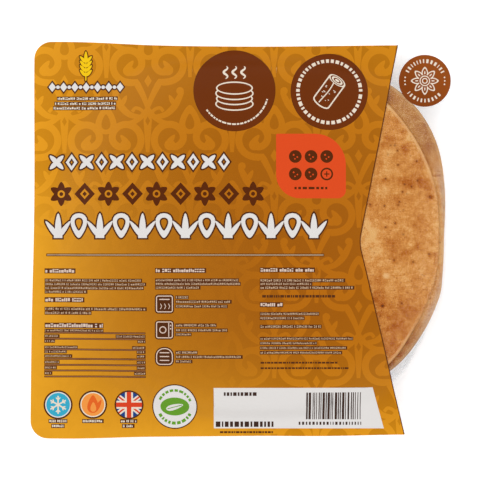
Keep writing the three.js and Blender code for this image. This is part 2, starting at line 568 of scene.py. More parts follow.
def makeGoldPaintedShade():
    # the gold of the print, for the ground and for the pattern on it, with painted shade at one place and
    # painted light towards the edges
    group, nodes, given, result = newGroup(
        "goldPaintedShade",
        [("NodeSocketColor", "Deep", (1, 1, 1, 1)), ("NodeSocketColor", "Bright", (1, 1, 1, 1))],
        [("NodeSocketColor", "Color")])
    g = goldPaintedShade
    split = nodes.add("ShaderNodeSeparateXYZ", Vector=nodes.places())
    x, y = split.outputs["X"], split.outputs["Y"]

    def away(value, middle, before, after):
        early = nodes.math("DIVIDE", nodes.math("SUBTRACT", middle, value), before)
        late = nodes.math("DIVIDE", nodes.math("SUBTRACT", value, middle), after)
        return nodes.math("POWER", nodes.math("MAXIMUM", early, late, clamp=True), g["steep"])

    across = away(x, g["darkestX"], g["left"], g["right"])
    along = away(y, g["darkestY"], g["down"], g["up"])
    left = nodes.math("MULTIPLY", nodes.math("SUBTRACT", 1.0, across), nodes.math("SUBTRACT", 1.0, along))
    # painted light and shade: least at the darkest place, rising towards the edges
    glow = nodes.math("SUBTRACT", 1.0, nodes.math("MULTIPLY", left, 1 - g["least"]))
    toned = nodes.mix(glow, given["Deep"], given["Bright"])
    plain = nodes.mix(glow, linear(*g["plainDeep"]), linear(*g["plainBright"]))
    fade = nodes.math("MULTIPLY", nodes.span(x, *g["fadeX"]), nodes.span(y, *g["fadeY"]))
    nodes.feed(result["Color"], nodes.mix(nodes.math("MULTIPLY", fade, g["fade"]), toned, plain))
    return group


printGrain = makePrintGrain()
goldShadeGroup = makeGoldPaintedShade()


inkLook = {"roughness": 0.36, "shine": 0.1, "grain": 0.10, "whiteGrain": 0.05,
           "crinkle": 0.25, "crinkleHeight": 0.0003}
inkColours = {
    "brown": (113, 51, 8), "outline": (86, 46, 22), "dark": (92, 42, 12), "bar": (92, 50, 24),
    "faded": (198, 168, 138), "soft": (226, 202, 186), "rule": (170, 116, 80), "black": (66, 46, 38),
    "cream": (240, 226, 206), "white": (232, 228, 225), "orange": (228, 79, 34), "yellow": (250, 204, 20),
    "sky": (62, 174, 204), "flame": (247, 156, 72), "ember": (232, 104, 40), "green": (104, 160, 46),
    "red": (222, 70, 38), "blue": (34, 70, 136), "edge": (98, 48, 18),
}


def inkMaterial(name, colour=None, gold=None, shadeToLowerLeft=None, grain=inkLook["grain"]):
    material, nodes = newMaterial(name)
    if gold:
        tone = nodes.add("ShaderNodeGroup", {"node_tree": goldShadeGroup}, Deep=linear(*gold[0]),
                         Bright=linear(*gold[1])).outputs["Color"]
    # painted shade: the colour drawn deeper to the lower left
    elif shadeToLowerLeft:     # deeper to the lower left: the deep colour, and the least and most of x + y
        split = nodes.add("ShaderNodeSeparateXYZ", Vector=nodes.places())
        across = nodes.math("ADD", split.outputs["X"], split.outputs["Y"])
        tone = nodes.mix(nodes.span(across, *shadeToLowerLeft[1:]), linear(*shadeToLowerLeft[0]), linear(*colour))
    else:
        tone = linear(*colour)
    grained = nodes.add("ShaderNodeGroup", {"node_tree": printGrain}, Color=tone, Amount=grain).outputs
    bump = nodes.add("ShaderNodeBump", Strength=inkLook["crinkle"], Distance=inkLook["crinkleHeight"],
                     Height=grained["Height"])
    shader = nodes.add("ShaderNodeBsdfPrincipled", Base_Color=grained["Color"], Normal=bump.outputs["Normal"],
                       Roughness=inkLook["roughness"], Specular_IOR_Level=inkLook["shine"])
    nodes.add("ShaderNodeOutputMaterial", Surface=shader.outputs[0])
    return material


inks = {
    "ground": inkMaterial("goldGround", gold=(goldPaintedShade["groundDeep"], goldPaintedShade["groundBright"])),
    "pattern": inkMaterial("goldPattern", gold=(goldPaintedShade["patternDeep"], goldPaintedShade["patternBright"])),
}
for name, colour in inkColours.items():
    grain = inkLook["whiteGrain" if name == "white" else "grain"]
    inks[name] = inkMaterial(name + "Ink", colour, grain=grain)
print("inks mixed")


# the print: layers of (ink, outline), later ones on top
layers = []


def lay(ink, *outlines):
    layers.extend((ink, outline) for outline in outlines)


def layEdged(ink, edge, outlines, margin):
    lay(edge, *[grown(outline, margin) for outline in outlines])
    lay(ink, *outlines)


def markRow(left, right, middle, height, seed, ink="faded"):
    # a row of small pale marks of no meaning on a dark bar
    margin, low, high = 0.45, middle - height / 2, middle + height / 2
    lay("bar", block(left - margin, low - margin, right + margin, high + margin))
    rng = random.Random(seed)
    x = left
    while x < right - 0.3:
        kind, wide = rng.randrange(4), height * rng.uniform(0.35, 0.8)
        end = min(x + wide, right)
        if kind == 0:
            lay(ink, block(x, low, end, low + 0.4 * height), block(x, high - 0.3 * height, end, high))
        elif kind == 1:
            lay(ink, block(x, low, end, high - 0.25 * height))
        elif kind == 2:
            lay(ink, block(x, low + 0.1 * height, end, high))
        else:
            lay(ink, block(x, low, min(x + 0.4 * height, right), high))
            end = min(x + 0.4 * height, right)
        x = end + (0.28 if rng.random() < 0.85 else 0.7 * height)


def dashes(left, right, middle, height, seed, longest=3.4, gap=0.55):
    # a row of short dashes of uneven length
    rng = random.Random(seed)
    row, x = [], left
    while x < right - 0.6:
        end = min(x + rng.uniform(0.28 * longest, longest), right)
        row.append(block(x, middle - height / 2, end, middle + height / 2))
        x = end + gap
    return row


def arcOfDashes(cx, cy, radius, height, fromDegrees, toDegrees, seed, gap=1.0, length=1.0):
    # dashes on part of a circle, longer and shorter
    rng = random.Random(seed)
    row, at = [], fromDegrees
    while at < toDegrees - 2:
        end = min(at + rng.uniform(3.5, 9.0) * 16 / radius * length, toDegrees)
        arc = [onCircle(cx, cy, radius, math.radians(a)) for a in np.linspace(at, end, 4)]
        row.append(stroke(arc, height))
        at = end + math.degrees(gap / radius)
    return row


def layRing(ink, under, cx, cy, radius, width, squash=1.0):
    # a ring of one ink with another inside it
    lay(ink, disc(cx, cy, radius, 0, squash))
    lay(under, disc(cx, cy, radius - width, 0, (squash * radius - width) / (radius - width)))


# the pattern all over the gold: rows of paired scrolls, every other row half a repeat across
damask = {
    "repeatX": 46.2, "repeatY": 41.25, "rows": range(-1, 7), "columns": range(-3, 5), "rightmost": 110,
    "startX": -55.5, "startY": 96.4,     # the middle of one pair of scrolls
    "scrollX": 10.45, "band": 3.9,
    # the scroll's turn in degrees, and its reach from the scroll's middle
    "turns": (-112, -90, 0, 90, 180, 235, 270), "reaches": (10.6, 9.9, 9.0, 8.0, 6.9, 5.2, 3.9),
    "stem": [(0.0, -24.0), (2.6, -17.4)],     # it runs on into the scroll
    "sprig": [(3.0, -29.4), (9.6, -28.0), (14.4, -23.8), (17.2, -18.8), (18.8, -15.4)],
    "sprigWidth": 2.2, "sprigSwell": 1.5,
    "hook": [(1.6, -29.0), (3.2, -25.6), (6.6, -24.2), (8.6, -26.2)], "hookWidth": 1.9,
    "arm": [(0.6, -25.6), (3.6, -29.2), (8.2, -32.2), (13.4, -33.2)], "armWidth": 2.9,
    "trunk": [(0, -23.0), (0, -31.0), (0, -38.0), (0, -48.6)], "trunkWidths": [2.6, 4.6, 3.6, 2.0],
}


def damaskUnit():
    # one pair of scrolls with its stem, side sprigs and bud, drawn about its own middle
    d = damask
    spiral = []
    for degrees in np.linspace(d["turns"][0], d["turns"][-1], 32):
        reach = np.interp(degrees, d["turns"], d["reaches"])
        spiral.append(onCircle(d["scrollX"], 0.0, reach, math.radians(degrees)))
    path = curve(d["stem"] + [spiral[0]])[:-1] + spiral
    tipX, tipY = spiral[-1]
    sprig = curve(d["sprig"], 5)
    swells = [math.sin(math.pi * i / len(sprig)) for i in range(len(sprig))]
    half = [
        stroke(path, [d["band"] * min(1.0, 0.62 + 0.03 * i) for i in range(len(path))]),
        disc(tipX + 0.5, tipY + 0.6, 3.0, 22),
        leaf(tipX + 2.4, tipY + 0.2, 7.6, 4.2, 128),
        stroke(sprig, [d["sprigWidth"] + d["sprigSwell"] * swell for swell in swells]),
        disc(17.7, -14.9, 2.1, 16),
        leaf(14.6, -22.6, 6.2, 3.6, 118),
        stroke(curve(d["hook"], 5), d["hookWidth"]),
        stroke(curve(d["arm"], 5), d["armWidth"]),
    ]
    unit = [("pattern", shape, side) for side in (False, True) for shape in half]
    unit += [
        ("pattern", stroke(d["trunk"], d["trunkWidths"]), False),
        ("ground", lozenge(0, -31.4, 2.6, 5.0), False),
        ("pattern", drop(0, 2.6, 18.6, 13.4), False),
        ("ground", drop(0, 5.2, 13.8, 5.6), False),
        ("pattern", lozenge(0, -9.2, 4.2, 7.0), False),
    ]
    return unit


def layDamask():
    d, unit = damask, damaskUnit()
    for row in d["rows"]:
        y = d["startY"] + d["repeatY"] - row * d["repeatY"]
        shift = d["repeatX"] / 2 if row % 2 == 0 else 0
        for column in d["columns"]:
            x = d["startX"] + shift + column * d["repeatX"]
            if x < d["rightmost"]:
                for ink, shape, mirror in unit:
                    lay(ink, moved(shape, x, y, mirror))


# in the top corner: a wheat ear over a string of beads and three rows of marks
corner = {
    "x": -89.9, "foot": 87.6, "tip": 103.4, "grains": 4, "grainPitch": 2.5,
    "beads": 13, "beadsLeft": -108.4, "beadsRight": -71.0, "beadsY": 84.0,
    "rows": [(-105.4, -72.6, 77.7), (-106.8, -73.4, 74.9), (-107.6, -73.6, 72.4)], "rowHeight": 1.3,
}


def layCorner():
    c = corner
    x, foot, tip = c["x"], c["foot"], c["tip"]
    grains = [stroke([(x, foot), (x, tip - 4)], 0.7), leaf(x, tip - 5.0, 5.4, 2.4, 90)]
    for k in range(c["grains"]):
        y = foot + 2.6 + c["grainPitch"] * k
        grains += [leaf(x + 0.2, y, 4.6, 2.3, 48), leaf(x - 0.2, y, 4.6, 2.3, 132)]
    layEdged("yellow", "dark", grains, 0.55)
    beads = []
    for k, at in enumerate(np.linspace(c["beadsLeft"], c["beadsRight"], c["beads"])):
        beads.append(disc(at, c["beadsY"], 1.0, 16) if k % 2 else lozenge(at, c["beadsY"], 4.0, 5.2))
    layEdged("white", "outline", beads, 0.75)
    for k, (left, right, middle) in enumerate(c["rows"]):
        markRow(left, right, middle, c["rowHeight"], 62 + k, "cream")


# the round discs at the top, with line drawings of stacked and rolled breads
discs = {
    "line": 0.75, "edge": 0.3,
    "stack": {"x": -8.0, "y": 81.8, "radius": 22.2, "breads": 4, "breadsY": -7.5, "pitch": 2.9,
              "breadRadius": 10.5, "squash": 0.36, "steamX": 4.8, "steamY": 6.4},
    "roll": {"x": 44.0, "y": 81.2, "radius": 20.9, "turn": -126, "reach": 7.4, "half": 4.9,
             "layers": [(1.0, "cream"), (0.82, "brown"), (0.66, "cream"), (0.44, "brown"), (0.26, "cream")],
             "flecks": 12},
}


def layDisc(d):
    lay("edge", disc(d["x"], d["y"], d["radius"] + discs["edge"]))
    lay("brown", disc(d["x"], d["y"], d["radius"]))


def layStack():
    # a stack of round breads with steam over it
    d = discs["stack"]
    layDisc(d)
    for level in range(d["breads"]):
        y, radius = d["y"] + d["breadsY"] + d["pitch"] * level, d["breadRadius"] - 0.4 * (level % 2)
        layRing("cream", "brown", d["x"], y, radius, discs["line"], d["squash"])
    for side in (-1, 0, 1):
        x, y = d["x"] + d["steamX"] * side, d["y"] + d["steamY"]
        wave = [(x + 1.1 * math.sin(1.5 * t), y + 1.15 * t) for t in np.linspace(0, 6, 16)]
        lay("cream", stroke(wave, [0.35 + 0.9 * math.sin(math.pi * (i + 0.6) / 16) for i in range(16)]))
    lay("cream", *arcOfDashes(d["x"], d["y"], 18.6, 0.9, 215, 345, 4, 0.5))


def layRoll():
    # a rolled bread seen from one end, with its seam and a few flecks
    d, line = discs["roll"], discs["line"]
    layDisc(d)
    lay("cream", *arcOfDashes(d["x"], d["y"], 17.2, 1.9, 0, 358, 8))
    turn = math.radians(d["turn"])
    axis, side = Vector((math.cos(turn), math.sin(turn))), Vector((-math.sin(turn), math.cos(turn)))
    middle, half = Vector((d["x"], d["y"])), d["half"]
    near, far = middle - axis * d["reach"], middle + axis * d["reach"]
    body = [near + side * half, far + side * half]
    for a in np.linspace(0.2, math.pi - 0.2, 9):
        body.append(far + side * half * math.cos(a) + axis * 2.0 * math.sin(a))
    body += [far - side * half, near - side * half]
    body = [tuple(p) for p in body]
    lay("cream", grown(body, line / 2))
    lay("brown", grown(body, -line / 2))
    for size, ink in d["layers"]:
        rolled = [near + side * (half + 0.3) * size * math.cos(a) + axis * 2.3 * size * math.sin(a)
                  for a in np.linspace(0, tau, 28, endpoint=False)]
        lay(ink, [tuple(p) for p in rolled])
    seam = [near + axis * (2.2 + t) + side * (0.4 * math.sin(t / 3) - 0.8) for t in np.linspace(0, 13.4, 8)]
    lay("cream", stroke([tuple(p) for p in seam], 0.6))
    rng = random.Random(21)
    for _ in range(d["flecks"]):
        p = near + axis * rng.uniform(4, 14) + side * rng.uniform(-3.8, 3.8)
        q = p + side * rng.uniform(0.5, 0.9) + axis * rng.uniform(-0.3, 0.3)
        lay("cream", stroke([tuple(p), tuple(q)], 0.4))


# the orange leaf, with five small round breads and a sixth that is a ring with a cross in it
flash = {
    "left": 14.8, "right": 53.0, "top": 58.0, "bottom": 22.6, "rounds": (13.0, 4.5, 17.0, 0.8),
    "breadX": 10.5, "breadY": 12.5, "pitchX": 8.6, "pitchY": 9.6, "breadRadius": 3.5,
    "spots": [(-0.9, 0.9, 0.5), (1.1, -0.3, 0.45), (-0.2, -1.3, 0.4)],
}


def layFlash():
    f = flash
    lay("orange", roundedBlock(f["left"], f["bottom"], f["right"], f["top"], f["rounds"], 10))
    for i in range(6):
        x = f["left"] + f["breadX"] + f["pitchX"] * (i % 3)
        y = f["top"] - f["breadY"] - f["pitchY"] * (i // 3)
        lay("dark", disc(x, y, f["breadRadius"]))
        if i == 5:
            lay("orange", disc(x, y, 2.6))
            lay("dark", stroke([(x - 1.5, y), (x + 1.5, y)], 0.6), stroke([(x, y - 1.5), (x, y + 1.5)], 0.6))
        else:
            lay("orange", *[disc(x + dx, y + dy, radius) for dx, dy, radius in f["spots"]])
    lay("dark", *dashes(f["left"] + 10, f["left"] + 28, f["bottom"] + 5.6, 1.3, 31, 4.2, 0.9))


# three bands of block-print ornament across the gold, over a thin rule
bands = {
    "upper": {"left": -110.2, "right": -9.6, "low": 38.0, "high": 47.1, "motifs": 12},
    "middle": {"left": -110.0, "right": 8.8, "low": 18.9, "high": 31.3, "motifs": 9},
    "lower": {"left": -111.0, "right": 41.3, "low": 0.9, "high": 14.5, "motifs": 13},
    "rule": {"left": -111.7, "right": 41.1, "y": -8.4, "width": 1.5},
    "edge": 0.85,
}


def motifs(band):
    # number and middle of each motif, evenly along a band
    width = (band["right"] - band["left"]) / band["motifs"]
    return [(i, band["left"] + width * (i + 0.5)) for i in range(band["motifs"])]


def layHollowed(shapes, hollows):
    # pale shapes with a dark edge, open in their middles
    layEdged("white", "outline", shapes, bands["edge"])
    lay("outline", *hollows)
    lay("pattern", *[grown(hollow, -bands["edge"]) for hollow in hollows])


def layUpperBand():
    b = bands["upper"]
    y, tall = (b["low"] + b["high"]) / 2, b["high"] - b["low"]
    shapes, hollows = [], []
    for i, x in motifs(b):
        if i % 2 == 0:     # a flower of four petals
            shapes += [leaf(x, y, tall * 0.58, 3.3, 90 * k + 45) for k in range(4)]
        else:     # a ringed seed
            shapes += [lozenge(x, y, 6.6, tall)]
            hollows += [lozenge(x, y, 3.0, tall - 4.6)]
    layHollowed(shapes, hollows)


def layMiddleBand():
    b = bands["middle"]
    y, tall = (b["low"] + b["high"]) / 2, b["high"] - b["low"]
    for i, x in motifs(b):
        if i % 2 == 0:     # a star of six leaves
            lay("dark", *[leaf(x, y, tall * 0.54, 5.4, 60 * k + 30) for k in range(6)])
            lay("pattern", disc(x, y, 2.1))
            lay("dark", disc(x, y, 1.1))
        else:     # a lozenge in a lozenge
            lay("dark", lozenge(x, y, 11.4, tall))
            lay("pattern", lozenge(x, y, 5.2, 5.8))
            lay("dark", lozenge(x, y, 2.6, 2.8))


def layLowerBand():
    b = bands["lower"]
    low, high = b["low"], b["high"]
    shapes, hollows = [], []
    for i, x in motifs(b):
        if i % 2 == 0:     # a three-leaved sprig on a small foot
            shapes += [leaf(x, low + 0.6, high - low - 0.6, 4.6, 90), leaf(x, low + 0.4, 11.4, 3.6, 128),
                       leaf(x, low + 0.4, 11.4, 3.6, 52), block(x - 2.4, low, x + 2.4, low + 1.7)]
        else:     # a hollow drop, hanging
            shapes += [drop(x, high, low, 10.4)[::-1]]
            hollows += [drop(x, high - 2.4, low + 4.0, 5.4)[::-1]]
    layHollowed(shapes, hollows)


def layRule():
    r = bands["rule"]
    lay("bar", block(r["left"], r["y"] - r["width"] / 2, r["right"], r["y"] + r["width"] / 2))
    lay("faded", block(r["left"] + 0.4, r["y"] - 0.28, r["right"] - 0.4, r["y"] + 0.28))


# rows of small marks in three columns: left, right, middle and height of each
smallMarks = {
    "heads": [(-112.2, -95.7, -17.2, 1.9), (-112.2, -90.8, -33.1, 1.9), (-112.2, -80.3, -47.2, 2.0),
              (-51.0, -23.9, -16.9, 1.8), (6.3, 35.6, -16.6, 1.8), (6.3, 18.2, -35.6, 1.8)],
    "rows": [(-112.2, -59.0, -22.4, 1.1), (-112.2, -56.7, -24.5, 1.1), (-112.2, -58.0, -26.6, 1.1),
             (-112.2, -89.1, -28.7, 1.1), (-112.2, -56.4, -38.1, 1.2), (-112.2, -86.9, -40.3, 1.2),
             (-112.2, -80.3, -50.0, 1.0),
             (-51.0, -6.0, -22.2, 1.1), (-51.0, -5.0, -24.2, 1.1), (-51.0, -27.0, -26.3, 1.1),
             (-39.9, -33.5, -31.6, 1.2), (-39.9, -9.9, -34.0, 1.1), (-39.9, -12.1, -36.5, 1.1),
             (-39.9, -18.2, -46.9, 1.2), (-39.9, -12.1, -49.6, 1.1), (-39.9, -31.9, -51.9, 1.0),
             (-39.9, -28.6, -61.8, 1.2), (-39.9, -3.9, -64.2, 1.1), (-39.9, -31.4, -66.7, 1.1),
             (6.3, 52.2, -22.3, 1.2), (6.3, 34.1, -24.2, 1.1), (6.3, 57.2, -26.3, 1.2),
             (6.3, 38.0, -40.6, 1.1), (6.3, 30.0, -43.0, 1.1), (6.3, 39.3, -47.6, 1.2),
             (6.3, 56.6, -54.2, 1.0), (6.3, 36.8, -56.7, 1.0), (6.3, 53.3, -59.3, 1.0),
             (6.3, 50.6, -61.9, 1.0)],
    "dashRows": [(7.2, 47.8, -31.0, 1.4), (6.3, 48.4, -67.4, 1.0), (6.3, 55.0, -70.4, 1.0),
                 (-16.0, 13.2, -106.1, 1.1)],
    "tableLeft": -112.8, "tableRight": -56.7, "tableHeight": 1.0,
    "tableRules": [-51.3, -54.6, -60.5, -65.7, -69.0, -72.1, -75.4],
    # the table's rows: middle, reach of its left part and length of its right part
    "tableRows": [(-53.1, 8.0, 16.0), (-55.9, 5.5, 4.0), (-59.3, 18.0, 7.0), (-61.7, 12.0, 4.5),
                  (-64.1, 15.0, 4.5), (-67.4, 8.0, 4.5), (-70.5, 6.5, 4.5), (-73.6, 4.0, 6.0)],
}


def laySmallMarks():
    s = smallMarks
    tableLeft, tableRight, height = s["tableLeft"], s["tableRight"], s["tableHeight"]
    for y in s["tableRules"]:
        lay("bar", block(tableLeft, y - 0.5, tableRight, y + 0.5))
        lay("rule", block(tableLeft + 0.3, y - 0.16, tableRight - 0.3, y + 0.16))
    for k, row in enumerate(s["heads"]):
        markRow(*row, 100 + k, "soft")
    for k, row in enumerate(s["rows"]):
        markRow(*row, 200 + k)
    for k, (middle, reach, length) in enumerate(s["tableRows"]):
        markRow(tableLeft + 0.4, tableLeft + reach, middle, height, 300 + k)
        markRow(tableRight - length, tableRight - 0.4, middle, height, 330 + k)
    for k, row in enumerate(s["dashRows"]):
        lay("bar", *dashes(*row, 360 + k, 2.2, 0.35))


# three small line drawings on ways to warm the bread: under a grill, in an oven, in a toaster
warming = {
    "left": -50.9, "size": 9.2, "bottoms": (-39.8, -54.0, -68.6), "line": 0.55, "edge": 0.7,
    "rounds": [(1.2, 1.2, 1.2, 1.2), (1.2, 1.2, 1.2, 1.2), (2.4, 2.4, 4.2, 4.2)],
}


def layWarming():
    w = warming
    for kind, bottom in enumerate(w["bottoms"]):
        left, right, top = w["left"], w["left"] + w["size"], bottom + w["size"]
        outer = roundedBlock(left, bottom, right, top, w["rounds"][kind], 6 if kind == 2 else 4)
        lay("outline", grown(outer, w["edge"]))
        lay("soft", outer)
        lay("outline", grown(outer, -w["line"]))
        if kind == 0:
            lay("soft", block(left + 1.8, top - 2.4, right - 1.8, top - 1.8))
            for i in range(3):     # glowing bars
                x = left + 2.4 + 2.2 * i
                lay("soft", stroke([(x, bottom + 1.8), (x + 0.7, bottom + 3.3), (x, bottom + 4.8)], 0.4))
        elif kind == 1:
            x, y = (left + right) / 2 - 0.9, (bottom + top) / 2
            lay("soft", block(right - 2.5, bottom + 0.8, right - 2.0, top - 0.8))
            lay("soft", disc(x, y, 2.0, 18))
            lay("outline", disc(x, y, 1.45, 16))
            lay("soft", disc(right - 1.2, top - 2.2, 0.4, 10), disc(right - 1.2, top - 4.0, 0.4, 10))
        else:
            for i in range(3):
                y = bottom + 2.2 + 2.1 * i
                lay("soft", block(left + 2.0, y, right - 2.0, y + 0.55))


# round signs along the foot: a snow star, a flame, a crossed flag and a leaf
roundels = {
    "snow": (-105.2, -91.0, 7.6), "fire": (-86.0, -90.9, 7.4), "flag": (-66.1, -91.0, 7.6),
    "leaf": (-40.8, -91.8, 12.4),
    "edge": 0.4, "ring": 0.9, "inset": 1.1,
    "rows": [(-110.0, -100.5, -100.0), (-108.5, -102.0, -102.7), (-91.5, -80.5, -100.0),
             (-70.5, -62.0, -100.0), (-69.5, -63.5, -102.7)],
    "rowHeight": 1.3,
}


def laySnow():
    x, y, radius = roundels["snow"]
    layRing("outline", "white", x, y, radius + roundels["edge"], roundels["ring"])
    lay("sky", disc(x, y, radius - roundels["inset"]))
    for k in range(6):
        a = math.radians(60 * k + 30)
        root = onCircle(x, y, 2.7, a)
        lay("cream", stroke([(x, y), onCircle(x, y, 4.9, a)], 0.8))
        for side in (-1, 1):
            lay("cream", stroke([root, onCircle(*root, 1.7, a + side * 0.75)], 0.6))


def layFire():
    x, y, radius = roundels["fire"]
    layRing("outline", "cream", x, y, radius + roundels["edge"], roundels["ring"])
    lay("flame", disc(x, y, radius - roundels["inset"]))
    lay("ember", moved(drop(0, -4.6, 5.2, 7.0), x, y), moved(leaf(1.2, -3.8, 7.2, 3.0, 62), x, y))
    lay("flame", moved(drop(0.2, -4.0, 1.4, 3.6), x, y))


def layFlag():
    x, y, radius = roundels["flag"]
    inner = radius - roundels["edge"]
    lay("outline", disc(x, y, radius + roundels["edge"]))
    lay("blue", disc(x, y, inner))

    def bar(degrees, width):     # a bar across the disc, cut to its round edge
        a = math.radians(degrees)
        half = math.asin(width / 2 / inner)
        ends = [a - half, a, a + half, a + math.pi - half, a + math.pi, a + math.pi + half]
        return [onCircle(x, y, inner, e) for e in ends]

    for ink, width, turns in (("cream", 2.6, (38, 142)), ("red", 0.9, (38, 142)),
                              ("cream", 4.4, (0, 90)), ("red", 2.5, (0, 90))):
        lay(ink, *[bar(degrees, width) for degrees in turns])


def layLeaf():
    x, y, radius = roundels["leaf"]
    lay("outline", disc(x, y, radius + 0.1))
    lay("white", disc(x, y, radius - 0.5))
    lay("green", disc(x, y, 8.0, 48, 0.64))
    lay("white", leaf(x - 4.8, y - 1.6, 9.8, 4.2, 16))
    lay("green", stroke([(x - 4.2, y - 1.4), (x + 4.0, y + 0.9)], 0.45))
    lay("green", *arcOfDashes(x, y, 9.1, 1.4, 20, 160, 41, 0.7))
    lay("green", *arcOfDashes(x, y, 9.3, 1.7, 206, 334, 42, 0.75))


def layRoundels():
    laySnow()
    layFire()
    layFlag()
    layLeaf()
    for k, (left, right, middle) in enumerate(roundels["rows"]):
        markRow(left, right, middle, roundels["rowHeight"], 400 + k, "cream")


# the pale panel at the foot, with plain bars
palePanel = {
    "left": -19.4, "rightTop": 68.0, "rightBottom": 74.3, "top": -81.2, "bottom": -104.0,
    "barsLeft": 31.4, "barsRight": 62.2, "barsTop": -83.8, "barsBottom": -99.0,
    "barWidths": (0.45, 0.6, 0.9, 1.3), "barGaps": (0.45, 0.6, 0.9), "seed": 7,
    # rows of dashes: left, right, middle, height, seed, longest and gap
    "dashRows": [(-13.8, 5.2, -84.6, 2.0, 51, 2.2, 0.6), (-18.3, 13.5, -101.7, 3.0, 52, 2.6, 0.8)],
    "underBars": (27.4, 63.2, -101.2, 1.7, 53, 1.3, 0.9),
}


def layPalePanel():
    d = palePanel
    lay("white", [(d["left"], d["bottom"]), (d["rightBottom"], d["bottom"]),
                  (d["rightTop"], d["top"]), (d["left"], d["top"])])
    for row in d["dashRows"]:
        lay("black", *dashes(*row))
    rng = random.Random(d["seed"])
    x = d["barsLeft"]
    while x < d["barsRight"]:
        wide = rng.choice(d["barWidths"])
        lay("black", block(x, d["barsBottom"], min(x + wide, d["barsRight"]), d["barsTop"]))
        x += wide + rng.choice(d["barGaps"])
    lay("black", *dashes(*d["underBars"]))


layDamask()
layCorner()
layStack()
layRoll()
layFlash()
layUpperBand()
layMiddleBand()
layLowerBand()
layRule()
laySmallMarks()
layWarming()
layRoundels()
layPalePanel()
print("print laid out in", len(layers), "outlines")


# outlines of the whole film and of its printed part
def rimOutline():
    corners = [(rim["leftBottomX"], rim["bottomLeftY"], rim["cornerRound"]),
               (rim["rightX"], rim["bottomRightY"], rim["cornerRound"]),
               (rim["rightX"], rim["topRightY"], rim["cornerRound"]),
               (rim["flareX"], rim["topRightY"], rim["flareRound"]),
               (rim["leftTopX"], rim["topLeftY"], rim["cornerRound"])]
    return roundedPath(corners, 12)


def finer(path, step, closed=True):
    # the same path with points no further apart than a step
    out = []
    ends = path[1:] + (path[:1] if closed else [])
    for (ax, ay), (bx, by) in zip(path, ends):
        count = max(1, math.ceil(math.hypot(bx - ax, by - ay) / step))
        out += [(ax + (bx - ax) * k / count, ay + (by - ay) * k / count) for k in range(count)]
    return out if closed else out + [path[-1]]


def notchEdge():
    # the right end of the print, from its foot to its top
    foot = Vector((notch["bottomX"], rim["bottomRightY"]))
    middle = Vector((notch["x"], notch["y"]))
    top = Vector((notch["topX"], rim["topRightY"]))
    before = middle + (foot - middle).normalized() * notch["round"]
    after = middle + (top - middle).normalized() * notch["round"]
    bend = [tuple(before * (1 - t) ** 2 + middle * 2 * t * (1 - t) + after * t * t)
            for t in np.linspace(0, 1, 9)]
    straight = finer([tuple(foot), bend[0]], 1.0, False) + bend[1:]
    return straight[:-1] + finer([bend[-1], tuple(top)], 1.0, False)


def bowed(path):
    # the straight edges drawn in or let out a little
    def depth(place, bows):
        return sum(d * math.cos(0.5 * math.pi * min(abs(place - c) / half, 1)) ** 2 for c, half, d in bows)

    far, near = rim["bowStart"]
    out = []
    for x, y in path:
        onLeft = smooth(x, rim["leftTopX"] + far, rim["leftTopX"] + near)
        onTop = smooth(y, rim["topRightY"] - far, rim["topRightY"] - near)
        onBottom = smooth(y, rim["bottomRightY"] + far, rim["bottomRightY"] + near)
        inX = float(onLeft) * depth(y, rim["leftBows"])
        inY = float(onBottom) * depth(x, rim["bottomBows"]) - float(onTop) * depth(x, rim["topBows"])
        out.append((x + inX, y + inY))
    return out


wholeOutline = bowed(finer(rimOutline(), 1.5))
edgeOfPrint = notchEdge()


def insideRim(x, y, margin):
    return ((x > rim["leftBottomX"] + margin) & (x < rim["rightX"] - margin)
            & (y > rim["bottomRightY"] - rim["bowOut"] + margin) & (y < rim["topRightY"] - margin))


def leftOfNotch(x, y, margin=0.0):
    edge = np.interp(y, [p[1] for p in edgeOfPrint], [p[0] for p in edgeOfPrint])
    return x < edge - margin


def splitOutline():
    # the whole outline cut in two where the print ends
    flags = [leftOfNotch(*p) for p in wholeOutline]
    count = len(wholeOutline)
    start = next(i for i in range(count) if flags[i] and not flags[i - 1])
    around = [wholeOutline[(start + i) % count] for i in range(count)]
    printed = [p for p in around if leftOfNotch(*p)]
    clear = [p for p in around if not leftOfNotch(*p)]
    return printed + edgeOfPrint, clear + edgeOfPrint[::-1]


printedOutline, clearOutline = splitOutline()

# points inside the two parts of the upper film, so that it can bend
scatter = {
    # left, foot, right, top, pitch and seed of each part
    "printed": (-121, -110, 90, 110, 2.55, 2),
    "clear": (58, -110, 122, 110, 1.1, 3),
    "rimMargin": 0.9, "notchMargin": 0.6,
    # and more along the two top breads' edges and the wall: their number, and distances outwards
    "around": 640,
    "front": (-3.2, -2.2, -1.2, -0.6, 0.0, 0.6), "second": (-0.5, 0.0, 0.6), "wall": (0.0, 0.8),
}


def scatterInside(part, within):
    points = hexPoints(*scatter[part], lambda x, y: insideRim(x, y, scatter["rimMargin"]) & within(x, y))
    angles = np.linspace(0, tau, scatter["around"], endpoint=False)
    front = breadRadius(frontBread, angles)
    edges = {"front": front, "second": secondReach(front, angles), "wall": pocketRadius(angles)}
    for edge, reach in edges.items():
        for offset in scatter[edge]:
            points += [p for p in zip(*fromPocket(reach + offset, angles)) if within(*p)]
    return points


# a printed edge line with painted shadow of the print's edge, drawn as one dark stripe
printEdgeLineAndShadow = {"edgeLineAndShadow": 0.56, "inset": 0.25}     # a darker line along the end of the print


def makePrintedFilm():
    loose = scatterInside("printed", lambda x, y: leftOfNotch(x, y, scatter["notchMargin"]))
    edgeLineAndShadow = stroke([(x - printEdgeLineAndShadow["inset"], y) for x, y in edgeOfPrint], printEdgeLineAndShadow["edgeLineAndShadow"])
    shapes = [("ground", printedOutline)] + layers + [("edge", edgeLineAndShadow)]
    flat, faces, found = cutSheet(printedOutline, shapes, loose)
    return filmSheet("printed_film", flat, faces, [ink or "ground" for ink in found], filmHeight,
                     upperFilm["thickness"], inks, upperFilm["softness"], replaces=("printed_panel",),
                     slot="printed_film")


printedFilm = makePrintedFilm()
print("printed film:", len(printedFilm.data.polygons), "faces")


